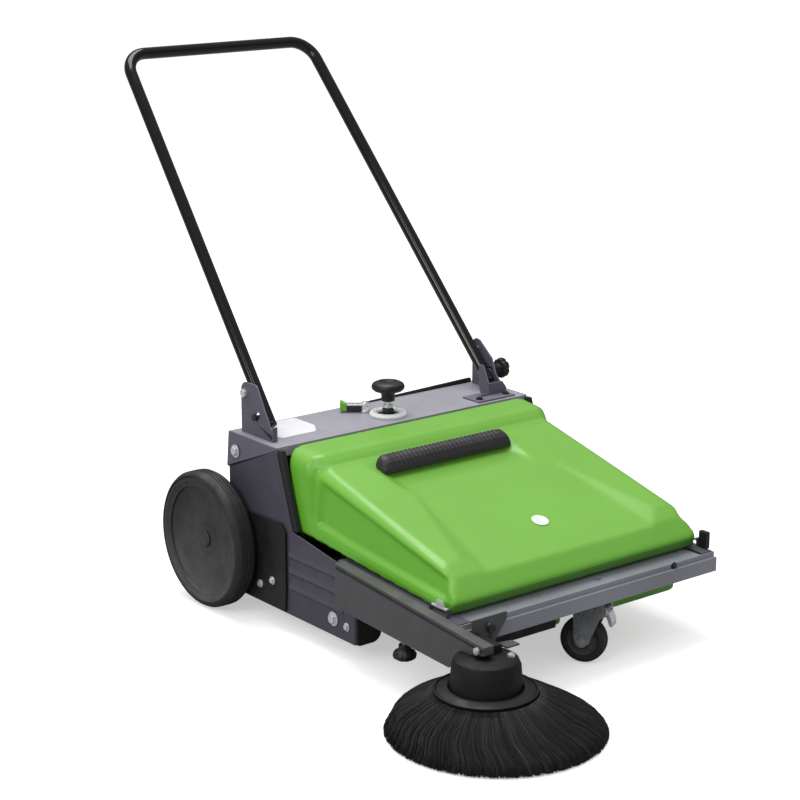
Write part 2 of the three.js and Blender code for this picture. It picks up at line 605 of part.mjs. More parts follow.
// Bristles: straight bundles around the core with shallow grooves between them
function mainBristles() {
  const steps = 48;
  const stepsPerBundle = 6;
  const outline = Array.from({ length: steps }, (_, i) => {
    const angle = 2 * Math.PI * i / steps;
    const radius = i % stepsPerBundle < 4 ? BRUSH_R : BRUSH_R - 7;
    return [BRUSH[0] + radius * Math.cos(angle), BRUSH[1] + radius * Math.sin(angle)];
  });
  return prism('x', outline, [-BRUSH_HALF, BRUSH_HALF], [ring(BRUSH, 33.6, 24)]);
}
add('main_brush_bristles', mainBristles(), BRISTLE);

add('brush_pulley', lathe('x', [
  [BRUSH_BORE_R, -266], [BRUSH_GROOVE_R + 5, -266], [BRUSH_GROOVE_R + 5, -265],
  [BRUSH_GROOVE_R - 3.4, -262.5], [BRUSH_GROOVE_R - 3.4, -253.5],
  [BRUSH_GROOVE_R + 5, -251], [BRUSH_GROOVE_R + 5, -250], [BRUSH_BORE_R, -250],
  [BRUSH_BORE_R, -266],
], BRUSH, 20), DARK_STEEL);

// Swinging carrier: two end plates on the axle joined by a bar
function brushCarrier() {
  const outline = convexOutline([[AXLE, 16], [BRUSH, 18], [CARRIER_BAR, 14]]);
  const holes = [ring(AXLE, AXLE_BORE_R, 20), ring(BRUSH, BRUSH_BORE_R, 20)];
  const screwX = HEIGHT_SCREW[0];
  const slotEnds = [...ring([screwX, -127.5], 6.6, 12), ...ring([screwX, -122], 6.6, 12)];
  return cut(
    union(
      prism('x', outline, [-246, -242], holes),
      prism('x', outline, [242, 246], holes),
      cylinder('x', [-244, 244], CARRIER_BAR, 11, 20),
      // boss with a short slot for the height spindle
      box([screwX - 18, screwX + 18], [-143, -107], [214, 230])),
    hull(atHeights(slotEnds, [200, 240])));
}
add('brush_carrier', brushCarrier(), DARK_STEEL);

// ---------------------------------------------------------------- belts
const STEPS_ON_DRIVER = 14;
const STEPS_ON_DRIVEN = 10;
const CORD_SIDES = 6;

// Closed round cord through stations whose tangents lie in the YZ plane
function beltLoop(stations, cordR) {
  const sideways = new THREE.Vector3(1, 0, 0);
  const position = stations.flatMap(({ point, tangent }) => {
    const outward = tangent.clone().cross(sideways);
    return ring([0, 0], cordR, CORD_SIDES).flatMap(([a, b]) =>
      point.clone().addScaledVector(sideways, a).addScaledVector(outward, b).toArray());
  });
  const index = [];
  stations.forEach((_, i) => {
    const here = i * CORD_SIDES;
    const next = ((i + 1) % stations.length) * CORD_SIDES;
    for (let j = 0; j < CORD_SIDES; j++) {
      const k = (j + 1) % CORD_SIDES;
      index.push(here + j, here + k, next + k, here + j, next + k, next + j);
    }
  });
  const geometry = new THREE.BufferGeometry();
  geometry.setAttribute('position', new THREE.Float32BufferAttribute(position, 3));
  geometry.setIndex(index);
  return toSolid(geometry);
}

function beltArc(x, [y, z], radius, from, to, steps) {
  const turn = Math.sign(to - from);
  return Array.from({ length: steps + 1 }, (_, i) => {
    const angle = from + (to - from) * i / steps;
    const cos = Math.cos(angle);
    const sin = Math.sin(angle);
    return {
      point: new THREE.Vector3(x, y + radius * cos, z + radius * sin),
      tangent: new THREE.Vector3(0, -sin * turn, cos * turn),
    };
  });
}

// Direction between the pulley centres, and the angle from it to the belt's tangent points
function beltAngles(driver, driven, radiusTerm) {
  const dy = driven.centre[0] - driver.centre[0];
  const dz = driven.centre[1] - driver.centre[1];
  return [Math.atan2(dz, dy), Math.acos(radiusTerm / Math.hypot(dy, dz))];
}

function driverArc(x, driver, base, offset) {
  return beltArc(x, driver.centre, driver.radius,
    base + offset, base + 2 * Math.PI - offset, STEPS_ON_DRIVER);
}

function openBelt({ x, driver, driven, cordR }) {
  const [base, offset] = beltAngles(driver, driven, driver.radius - driven.radius);
  return beltLoop([
    ...driverArc(x, driver, base, offset),
    ...beltArc(x, driven.centre, driven.radius, base - offset, base + offset, STEPS_ON_DRIVEN),
  ], cordR);
}

// Straight run in five stations, bowed sideways so that crossing runs pass each other
function bowedRun(from, to, bow) {
  const tangent = to.point.clone().sub(from.point).normalize();
  return [1, 2, 3, 4, 5].map((i) => {
    const point = from.point.clone().lerp(to.point, i / 6);
    point.x += bow * Math.sin(Math.PI * i / 6);
    return { point, tangent };
  });
}

// Crossed belt, turning the driven pulley against the driver
function crossedBelt({ x, driver, driven, cordR, bow }) {
  const [base, offset] = beltAngles(driver, driven, driver.radius + driven.radius);
  const onDriver = driverArc(x, driver, base, offset);
  const onDriven = beltArc(x, driven.centre, driven.radius,
    base + Math.PI - offset, base - Math.PI + offset, STEPS_ON_DRIVEN);
  return beltLoop([
    ...onDriver,
    ...bowedRun(onDriver.at(-1), onDriven[0], bow),
    ...onDriven,
    ...bowedRun(onDriven.at(-1), onDriver[0], -bow),
  ], cordR);
}

add('main_belt', crossedBelt({
  x: -258,
  driver: { centre: AXLE, radius: WHEEL_GROOVE_R },
  driven: { centre: BRUSH, radius: BRUSH_GROOVE_R },
  cordR: 2.8,
  bow: 3.5,
}), RUBBER);
add('transfer_belt', openBelt({
  x: -277,
  driver: { centre: AXLE, radius: TRANSFER_GROOVE_R },
  driven: { centre: ARM_PIVOT, radius: SHAFT_GROOVE_R },
  cordR: 2.6,
}), RUBBER);

// ---------------------------------------------------------------- side brush drive and arm
const SHAFT_RIM_R = SHAFT_GROOVE_R + 4;
const GEAR_RIM_R = GEAR_GROOVE_R + 3.5;

// shaft with one pulley outside the chassis and one inside
add('side_drive_shaft', lathe('x', [
  [0, -309], [6, -309], [6, -308],
  [SHAFT_RIM_R, -308], [SHAFT_RIM_R, -307.2],
  [SHAFT_GROOVE_R - 2.8, -306.4], [SHAFT_GROOVE_R - 2.8, -300.4],
  [SHAFT_RIM_R, -299.6], [SHAFT_RIM_R, -298.6],
  [6, -298.6], [6, -282.4],
  [SHAFT_RIM_R, -282.4], [SHAFT_RIM_R, -281.6],
  [SHAFT_GROOVE_R - 3.2, -280.2], [SHAFT_GROOVE_R - 3.2, -273.8],
  [SHAFT_RIM_R, -272.4], [SHAFT_RIM_R, -271.6],
  [6, -271.6], [6, -266], [0, -266],
], ARM_PIVOT, 16), { ...ZINC, roughness: 0.35, metalness: 0.8 });

// (Y, Z): arm with its front lower corner cut away, and the hollow open underneath
const ARM_OUTLINE = [
  [-372, 101], [-372, 178], [-752, 145.5], [-752, 132], [-716, 124], [-668, 87]];
const ARM_HOLLOW = [[-380, 60], [-380, 174.4], [-746, 143], [-746, 60]];

function brushArm() {
  const innerWall = [ARM_IN - 4, ARM_IN + 4];
  const channel = cut(
    prism('x', ARM_OUTLINE, [ARM_OUT, ARM_IN]),
    prism('x', ARM_HOLLOW, [ARM_OUT + SHEET, ARM_IN - SHEET]),
    cylinder('x', innerWall, ARM_PIVOT, 10.4, 24));
  // boss for the knob under the arm
  const boss = prism('x', [[-532, 93.6], [-532, 112], [-558, 112], [-558, 92.4]],
    [ARM_OUT + 1, ARM_IN - 1]);
  return cut(channel.add(boss),
    cylinder('z', [60, 109], ARM_KNOB, 5.4, 16),
    cylinder('x', innerWall, GEAR_INPUT, 5.6, 16));
}
add('brush_arm', brushArm(), ARM);

// (X, Z): plate in front of the crossbar, narrowing downwards
const HANGER_OUTLINE = [
  [-272, 158], [-200, 158], [-200, 146], [-226, 112],
  [-226, 104], [-252, 104], [-252, 112], [-272, 140]];
const HANGER_SLOT = [
  ...arc([GUIDE_BOLT[0], 143.5], 4.6, 6, 0, Math.PI),
  ...arc([GUIDE_BOLT[0], 112.5], 4.6, 6, Math.PI, 2 * Math.PI)];
// (Y, Z): foot reaching forward onto the gearbox
const HANGER_FOOT = [
  [-675.2, 104], [-675.2, 109], [-720, 128.6], [-738, 128.6], [-738, 125.6], [-720, 125.6]];
add('hanger_plate', union(
  prism('y', HANGER_OUTLINE, [-677.8, -675.2], [HANGER_SLOT]),
  prism('x', HANGER_FOOT, [-252, -226])), HANGER);

// Flat-topped round housing with a box for the input shaft beside the arm
function brushGearbox() {
  const housing = lathe('z', [
    [0, 64], [54, 64], [56.5, 67], [56, 96], [54.5, 114], [51, 122], [46, 125], [0, 125],
  ], SIDE_BRUSH, 28);
  const inputBox = hull([
    ...corners([-291.4, -264], [-678.6], [104, 137]),
    ...corners([-291.4, -264], [-740], [92, 137])]);
  const armRelief = prism('x', [
    [-600, 60], [-600, 160], [-756, 160], [-756, 130.4], [-716, 122.4], [-668, 85.4],
    [-640, 60]], [ARM_OUT - 0.4, ARM_IN + 0.5]);
  return cut(housing.add(inputBox),
    armRelief,
    box([-330, -234], [-678.2, -600], [60, 160]),
    cylinder('z', [55, 98], SIDE_BRUSH, 9.4, 20),
    cylinder('x', [-300, -276], GEAR_INPUT, 5.4, 16));
}
add('brush_gearbox', brushGearbox(), BLACK);

add('gearbox_pulley', lathe('x', [
  [0, -308], [GEAR_RIM_R, -308], [GEAR_RIM_R, -307.2],
  [GEAR_GROOVE_R - 2.8, -306.4], [GEAR_GROOVE_R - 2.8, -300.4],
  [GEAR_RIM_R, -299.6], [GEAR_RIM_R, -298.6], [5, -298.6], [5, -277], [0, -277],
], GEAR_INPUT, 18), DARK_STEEL);
add('arm_belt', openBelt({
  x: -303.4,
  driver: { centre: ARM_PIVOT, radius: SHAFT_GROOVE_R },
  driven: { centre: GEAR_INPUT, radius: GEAR_GROOVE_R },
  cordR: 2.2,
}), RUBBER);
add('arm_bolt', cylinder('x', [-317, ARM_OUT - GAP], [-738, 137], 6.5, 6), CHROME);
add('gearbox_bolt', hexBolt('z', [-268, -766], [125.4, 130], 6.5, [129, 132], 3.5), CHROME);
add('arm_knob', lathe('z', [
  [0, 60], [14, 60.5], [19, 64], [19.5, 69], [17, 74], [10, 77.5], [10, 86], [5, 86],
  [5, 107], [0, 107],
], ARM_KNOB, 24), { ...BLACK, roughness: 0.5 });

// ---------------------------------------------------------------- side brush
add('side_brush_disc', union(
  lathe('z', [[0, 44], [75, 44], [77, 48], [77, 56], [70, 62], [0, 62]], SIDE_BRUSH, 40),
  cylinder('z', [60, 96], SIDE_BRUSH, 9, 20)), BRUSH_DISC);

// (radius, Z): bell of bristles around the disc, open underneath
const BELL_PROFILE = [
  [77.6, 46], [77.6, 68], [82, 70], [104, 60], [129, 46.5], [152, 31.5], [168, 16.5],
  [SIDE_BRUSH_R - 1.5, 8], [SIDE_BRUSH_R, 3], [164, 2.5], [148, 11], [126, 24], [100, 36],
  [77.6, 46]];
// shift of the bristle tips towards +X and the front, growing smoothly downwards
const BELL_LEAN = { x: 13, y: -10, startZ: 45, height: 34 };

function sideBristles() {
  const geometry = toGeometry(lathe('z', BELL_PROFILE, SIDE_BRUSH, 40));
  const position = geometry.attributes.position;
  for (let i = 0; i < position.count; i++) {
    const drop = (BELL_LEAN.startZ - position.getZ(i)) / BELL_LEAN.height;
    const share = THREE.MathUtils.smoothstep(drop, 0, 1);
    position.setX(i, position.getX(i) + BELL_LEAN.x * share);
    position.setY(i, position.getY(i) + BELL_LEAN.y * share);
  }
  return toSolid(geometry);
}
add('side_brush_bristles', sideBristles(), BRISTLE);

// ---------------------------------------------------------------- caster
// Built with the swivel axis at the origin, rolling along +X and the wheel trailing at -X
const CASTER_AXLE = [-CASTER_TRAIL, CASTER_R]; // (X, Z)
const CHEEK_IN = 16;
const CHEEK_OUT = CHEEK_IN + 2.6;
const CHEEK_OUTLINE = [          // (X, Z)
  [-34, 114], [14, 114], [22, 105], [23, 91], [11, 84], [13 - CASTER_TRAIL, CASTER_R - 4],
  ...arc(CASTER_AXLE, 11, 6, -Math.PI * 0.12, -Math.PI * 0.88),
  [-CASTER_TRAIL - 13, CASTER_R + 6], [-36, 104]];

function casterFork() {
  const head = lathe('z', [[0, 112], [22, 112], [25, 116], [25, 124], [20, 127.4], [0, 127.4]],
    [0, 0], 20);
  return union(
    head,
    cylinder('z', [120, 142], [0, 0], 6, 16),
    prism('y', CHEEK_OUTLINE, [CHEEK_IN, CHEEK_OUT]),
    prism('y', CHEEK_OUTLINE, [-CHEEK_OUT, -CHEEK_IN]),
    box([-34, 14], [-CHEEK_OUT, CHEEK_OUT], [109.5, 113]),
    cylinder('y', [-22.5, 22.5], CASTER_AXLE, 5, 12));
}

const casterWheel = () => lathe('y', [
  [5.4, -14.4], [14, -14.4], [16, -12], [26, -12], [28, -14], [36, -14], [CASTER_R, -9],
  [CASTER_R, 9], [36, 14], [28, 14], [26, 12], [16, 12], [14, 14.4], [5.4, 14.4],
  [5.4, -14.4]], CASTER_AXLE, 24);

// brake pedal ahead of the fork
const casterBrake = () => union(
  prism('y', [[17, 92], [17, 100], [25, 96], [31, 81], [31, 71], [27, 71], [22, 85]], [-12, 12]),
  cylinder('y', [-15.6, 15.6], [18, 96], 4.5, 12));

function placeCasterPart(solid) {
  const turn = THREE.MathUtils.degToRad(CASTER_TURN);
  const matrix = new THREE.Matrix4().makeRotationZ(turn).setPosition(...CASTER, 0);
  return toSolid(toGeometry(solid).applyMatrix4(matrix));
}
add('caster_fork', placeCasterPart(casterFork()), { ...ZINC, metalness: 0.85 });
add('caster_wheel', placeCasterPart(casterWheel()), CASTER_TREAD);
add('caster_brake', placeCasterPart(casterBrake()), CHROME);

// ---------------------------------------------------------------- rear flap
// hung along the lower edge of the rear wall, with a round bead on top
add('rear_flap', union(
  box([-280, 280], [52.5, 56], [14, 92]),
  cylinder('x', [-280, 280], [54.5, 92], 4, 12)), { ...RUBBER, roughness: 0.85 });

// ---------------------------------------------------------------- hopper
const HOPPER_HALF_W = 277;      // at the lip
const HOPPER_FRONT_Y = -636;
const LID_SLOPE = 0.255;        // the lid falls towards the front
const lidZ = (y) => 308 + (y + 262) * LID_SLOPE;
// lower edge of the hopper's sides, steeper behind Y = -353
const lipZ = (y) => 172.5 + (y + 353) * (y > -353 ? 15 / 138 : 19.5 / 283);

const GRIP_X = -20;             // middle of the carrying grip
const DISH = { rearY: -360, frontY: -645, depth: 16 };
const DISH_SLOPE = DISH.depth / (DISH.rearY - DISH.frontY); // on top of the lid's own
const dishZ = (y) => lidZ(y) - DISH_SLOPE * (DISH.rearY - y);

// Hull of points (inset from the hopper's half width, Y, Z), taken on both sides
const hopperHull = (points) => hull(points.flatMap(([inset, y, z]) => [
  [HOPPER_HALF_W - inset, y, z], [inset - HOPPER_HALF_W, y, z]]));

// Columns of the tables below: inset, Y, Z
const REAR_BAND = [
  [1, -192, 308], [6, -190, 320], [16, -188, 328], [30, -187, 331],
  [1, -238, 304], [6, -240, 314], [16, -246, 322], [30, -250, 326],
  [34, -276, lidZ(-276) + 0.4], [12, -262, 290],
  [0, -216, lipZ(-216)], [0, -258, lipZ(-258)], [0, -193, 300], [0, -245, 290]];
const BODY = [
  [0, -225, lipZ(-225)], [0, HOPPER_FRONT_Y + 4, lipZ(HOPPER_FRONT_Y)],
  [2, -225, lipZ(-225) + 20], [5, HOPPER_FRONT_Y + 2, lipZ(HOPPER_FRONT_Y) + 26],
  [9, -236, 290], [9, -262, lidZ(-262) - 24], [9, -596, lidZ(-596) - 17],
  [14, -262, lidZ(-262) - 11], [14, -590, lidZ(-590) - 7],
  [27, -262, lidZ(-262)], [27, -586, lidZ(-586) - 1],
  [27, -240, 312], [24, -612, lidZ(-612) - 12], [12, -622, lidZ(-622) - 24],
  [12, HOPPER_FRONT_Y, lipZ(HOPPER_FRONT_Y) + 24],
  [2, HOPPER_FRONT_Y, lipZ(HOPPER_FRONT_Y) + 2], [2, HOPPER_FRONT_Y, lipZ(HOPPER_FRONT_Y)]];
const PAN = [                    // between and below the rails
  [23, -322, 176], [23, -611, 158], [27, -322, 90],
  [27, -326, 76], [31, -607, 70], [27, -611, 77]];
const BAND_CAVITY = [
  [18, -197, 310], [30, -194, 325], [18, -238, 303], [32, -240, 317],
  [5, -222, 204], [5, -250, 204], [5, -204, 290], [6, -238, 286]];
const BODY_CAVITY = [
  [5, -232, 204], [5, -330, lipZ(-330) + 5], [8, -625, lipZ(-625) + 5],
  [14, -232, 276], [34, -238, 300], [22, -262, lidZ(-262) - 18], [22, -590, lidZ(-590) - 24],
  [32, -262, lidZ(-262) - 5], [32, -582, lidZ(-582) - 22], [30, -606, lidZ(-606) - 28],
  [18, -628, lipZ(-628) + 18]];
const PAN_CAVITY = [
  [27.5, -312, 190], [27.5, -572, 172], [31.5, -312, 95],
  [31.5, -324, 80.5], [36, -566, 74.5], [31.5, -572, 84]];

function hopper() {
  const dish = hull(across(0, [
    [150, DISH.rearY, lidZ(DISH.rearY)],
    [170, DISH.rearY, lidZ(DISH.rearY) + 6],
    [190, DISH.frontY, dishZ(DISH.frontY)],
    [262, DISH.frontY, lidZ(DISH.frontY) + 6]]));
  // recess in the lid around the grip, fading forwards
  const gripRecess = hull(across(GRIP_X, [
    [156, -283, lidZ(-283) + 4], [156, -283, lidZ(-283) - 3.2],
    [142, -332, lidZ(-332) + 4], [142, -332, lidZ(-332) - 3.2],
    [128, -470, lidZ(-470) + 4], [128, -470, lidZ(-470)]]));
  return cut(
    union(...[REAR_BAND, BODY, PAN].map(hopperHull)),
    ...[BAND_CAVITY, BODY_CAVITY, PAN_CAVITY].map(hopperHull),
    // arch over the main brush, and room for the caster's sweep
    cylinder('x', [-262, 262], BRUSH, 103, 48),
    cylinder('z', [60, 145], CASTER, 62, 40),
    dish,
    gripRecess);
}
add('hopper', hopper(), GREEN);

// Carrying grip along the rear of the lid
function hopperGrip() {
  const halfLength = 144;
  const rearY = -287;
  const frontY = -322;
  const rearZ = lidZ(rearY);
  const frontZ = lidZ(frontY);
  const endPoints = [            // inset from the grip's end, Y, Z
    [0, rearY, rearZ - 2.6], [0, frontY, frontZ - 2.6],
    [2, rearY - 2, rearZ + 7], [4, frontY + 2, frontZ + 7],
    [14, rearY - 5, rearZ + 17], [16, frontY + 8, frontZ + 16],
    [16, rearY - 12, lidZ(rearY - 12) + 21]];
  const body = hull(SIDES.flatMap(([side]) => endPoints.map(
    ([inset, y, z]) => [GRIP_X + side * (halfLength - inset), y, z])));
  const hollowFrontY = frontY - 2;
  const hollowRearY = frontY + 14;
  const fingerHollow = hull(across(GRIP_X, [
    [112, hollowFrontY, frontZ - 2], [112, hollowFrontY, frontZ + 6],
    [108, hollowRearY, lidZ(hollowRearY) - 1.6], [108, hollowRearY, lidZ(hollowRearY) + 4]]));
  return body.subtract(fingerHollow);
}
add('hopper_grip', hopperGrip(), { ...BLACK, roughness: 0.5 });

// Blank round badge lying on the floor of the dish
function hopperBadge() {
  const x = 1;
  const y = -532;
  const lift = 1.1;
  const up = new THREE.Vector3(0, 0, 1);
  const normal = new THREE.Vector3(0, -LID_SLOPE - DISH_SLOPE, 1).normalize();
  const geometry = new THREE.CylinderGeometry(15, 15.5, 1.4, 32);
  geometry.rotateX(Math.PI / 2);
  geometry.applyQuaternion(new THREE.Quaternion().setFromUnitVectors(up, normal));
  geometry.translate(x, y + normal.y * lift, dishZ(y) + lift);
  return toSolid(geometry);
}
add('hopper_badge', hopperBadge(), BADGE);

// ---------------------------------------------------------------- hopper latches
// Barrel along the rail with an upright thumb tongue
function latch(side) {
  const hingeZ = LATCH_BASE_Z + 9;
  return union(
    cylinder('y', [-629.6, -590.4], [side * 281.6, hingeZ], 3, 14),
    hull([
      ...corners([side * 284, side * 279.4], [-601, -620], [hingeZ]),
      ...corners([side * 283.4, side * 280.4], [-603, -618], [hingeZ + 12])]));
}
for (const [side, label] of SIDES) add(`latch_${label}`, latch(side), CHROME);

export default group;
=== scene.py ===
"""Push sweeper: chassis panels, green hopper, bent tube handle, two rear wheels, a swivelling
caster, a roller brush and a side brush, standing on a pale floor.

The front faces -Y, Z is up and the floor is z = 0. "left" in names is the -X side. Pieces are
given in millimetres in machine coordinates, where x = 0 is the centre plane and y = 0 the rear
wheel axle; mesh_object moves them into the frame in metres. Lights and camera are in metres.
"""
import bpy
import json
import math
import numpy as np
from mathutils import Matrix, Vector


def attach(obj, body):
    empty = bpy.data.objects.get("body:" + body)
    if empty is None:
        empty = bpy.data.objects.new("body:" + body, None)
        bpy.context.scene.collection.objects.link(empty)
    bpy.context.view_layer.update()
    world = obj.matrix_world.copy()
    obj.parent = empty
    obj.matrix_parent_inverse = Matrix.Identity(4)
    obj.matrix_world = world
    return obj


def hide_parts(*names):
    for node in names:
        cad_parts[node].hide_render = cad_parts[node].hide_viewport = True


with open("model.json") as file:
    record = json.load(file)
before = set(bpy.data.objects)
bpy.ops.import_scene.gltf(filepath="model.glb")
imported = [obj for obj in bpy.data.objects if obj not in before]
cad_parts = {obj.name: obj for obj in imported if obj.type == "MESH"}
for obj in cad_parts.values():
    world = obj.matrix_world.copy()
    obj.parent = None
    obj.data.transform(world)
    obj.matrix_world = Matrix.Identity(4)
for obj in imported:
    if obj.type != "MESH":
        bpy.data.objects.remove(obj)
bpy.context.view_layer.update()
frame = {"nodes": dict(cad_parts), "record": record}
nodes = frame["nodes"]
MACHINE_ORIGIN = np.array([57.5, 252.6, 0])     # machine coordinates' zero in the frame, mm
rng = np.random.default_rng(7)


# ------------------------------------------------------------------ shader graphs
class Graph:
    """Adds shader nodes to a cleared tree; an input is either a socket to link or a value."""

    def __init__(self, owner):
        owner.use_nodes = True
        self.tree = owner.node_tree
        self.tree.nodes.clear()

    def add(self, kind, inputs=(), **settings):
        node = self.tree.nodes.new("ShaderNode" + kind)
        for key, value in settings.items():
            setattr(node, key, value)
        for key, value in dict(inputs).items():
            if isinstance(value, bpy.types.NodeSocket):
                self.tree.links.new(value, node.inputs[key])
            else:
                node.inputs[key].default_value = value
        return node

    def noise(self, vector, scale, detail):
        inputs = {"Vector": vector, "Scale": scale, "Detail": detail}
        return self.add("TexNoise", inputs).outputs["Fac"]

    def remap(self, value, source=(0.0, 1.0), result=(0.0, 1.0)):
        return self.add("MapRange", {
            "Value": value, "From Min": source[0], "From Max": source[1],
            "To Min": result[0], "To Max": result[1]}).outputs[0]

    def mix(self, factor, first, second):
        inputs = {"Factor": factor, "A": first, "B": second}
        return self.add("Mix", inputs, data_type="RGBA").outputs["Result"]

    def scale(self, colour, factor):
        return self.add("VectorMath", {0: colour, "Scale": factor}, operation="SCALE").outputs[0]

    def multiply(self, first, second, **settings):
        return self.add("Math", {0: first, 1: second}, operation="MULTIPLY", **settings).outputs[0]

    def normal_z(self):
        normal = self.add("NewGeometry").outputs["Normal"]
        return self.add("SeparateXYZ", {0: normal}).outputs["Z"]


# ------------------------------------------------------------------ materials
# pale colour for dust on faces looking up, also used as a painted highlight
DUST_AND_LIT_TOP_COLOUR = (0.42, 0.41, 0.39, 1)


def srgb(red, green, blue):
    def linear(level):
        level /= 255.0
        return level / 12.92 if level <= 0.04045 else ((level + 0.055) / 1.055) ** 2.4
    return (linear(red), linear(green), linear(blue), 1.0)


def scaled(colour, factor):
    return tuple(min(1, level * factor) for level in colour[:3]) + (1.0,)


def surface_shader(name, colour, rough=0.5, rough_var=0.12, metal=0.0, coat=0.0, spec=0.5,
                   tone_var=0.15, tone_scale=7.0, upright=None, fade=None, field=None, flank=None,
                   grain=700.0, speck=0.0, bump=0.12, bump_depth=0.0004, tone_attr=False,
                   dust=0.0, wear=0.0, wear_colour=None):
    """Returns a new material, its graph and its surface node, not yet linked to an output.

    tone_var, tone_scale: strength and scale of the large colour patches
    upright: colour of upright faces; the paler colour on tops is a painted sheen     fade: remap of height to brightness, painted light and shade
    field: painted light, brighter above the line z + slope * y = level, by gain
    flank: painted light and shade, a brightness change of pressed flanks that look up or down
    grain: scale of the fine noise, which drives speck (colour) and bump (relief)
    tone_attr: multiply by the mesh attribute "tone", which holds painted shade on the hopper
    """
    mat = bpy.data.materials.new(name)
    graph = Graph(mat)
    position = graph.add("TexCoord").outputs["Object"]
    patches = graph.remap(graph.noise(position, tone_scale, detail=6), source=(0.3, 0.7))
    tint = graph.mix(patches, scaled(colour, 1 - tone_var), scaled(colour, 1 + tone_var))
    # painted sheen: faces looking up keep the paler colour, upright faces take the upright colour
    if upright:
        tint = graph.mix(graph.remap(graph.normal_z(), source=(0.15, 0.85)), upright, tint)
    # painted light and shade that changes with height
    if fade:
        height = graph.add("SeparateXYZ", {0: position}).outputs["Z"]
        tint = graph.scale(tint, graph.remap(height, **fade))
    # painted light on the band above the line
    if field:
        place = graph.add("SeparateXYZ", {0: position}).outputs
        line = graph.add("Math", {0: place["Y"], 1: field["slope"], 2: place["Z"]},
                         operation="MULTIPLY_ADD").outputs[0]
        edge = (field["level"] - 0.001, field["level"] + 0.0015)
        tint = graph.scale(tint, graph.remap(line, source=edge, result=(1.0, field["gain"])))
    # painted light and shade: brighter on flanks looking up, darker on those looking down
    if flank:
        reach, change = flank["reach"], flank["change"]
        tint = graph.scale(tint, graph.remap(graph.normal_z(), source=(-reach, reach),
                                             result=(1 - change, 1 + change)))
    if speck or bump:
        mapped = graph.add("Mapping", {0: position}).outputs[0]
        fine = graph.noise(mapped, grain, detail=3)
    if speck:
        tint = graph.scale(tint, graph.remap(fine, source=(0.35, 0.65),
                                             result=(1 - speck, 1 + speck)))
    # the mesh's tone attribute; on the hopper it is painted shade
    if tone_attr:
        tone = graph.add("Attribute", attribute_name="tone").outputs["Fac"]
        tint = graph.scale(tint, tone)
    if dust:
        # pale dust on faces looking up, broken up by noise; on the wheel discs it is mostly a
        # painted highlight on the dish's lower wall
        up_facing = graph.multiply(graph.normal_z(), graph.noise(position, scale=28, detail=8))
        amount = graph.remap(up_facing, source=(0.3, 0.8), result=(0.0, dust))
        tint = graph.mix(amount, tint, DUST_AND_LIT_TOP_COLOUR)
    if wear:
        # painted highlight along edges: paler where a rounded normal departs from the true one
        rounded = graph.add("Bevel", {"Radius": 0.0016}, samples=4).outputs[0]
        normal = graph.add("NewGeometry").outputs["Normal"]
        match = graph.add("VectorMath", {0: rounded, 1: normal}, operation="DOT_PRODUCT")
        amount = graph.remap(match.outputs["Value"], source=(0.97, 0.75), result=(0.0, wear))
        broken = graph.noise(position, scale=60, detail=5)
        tint = graph.mix(graph.multiply(amount, broken, use_clamp=True), tint, wear_colour)
    smudges = graph.noise(position, tone_scale * 6, detail=8)
    inputs = {
        "Metallic": metal,
        "Specular IOR Level": spec,
        "Coat Weight": coat,
        "Coat Roughness": 0.08,
        "Base Color": tint,
        "Roughness": graph.remap(smudges, source=(0.3, 0.7), result=(
            max(0.02, rough - rough_var), min(1, rough + rough_var))),
    }
    if bump:
        relief = {"Strength": bump, "Distance": bump_depth, "Height": fine}
        inputs["Normal"] = graph.add("Bump", relief).outputs[0]
    return mat, graph, graph.add("BsdfPrincipled", inputs)


def material(name, colour, **looks):
    mat, graph, surface = surface_shader(name, colour, **looks)
    graph.add("OutputMaterial", {0: surface.outputs[0]})
    return mat


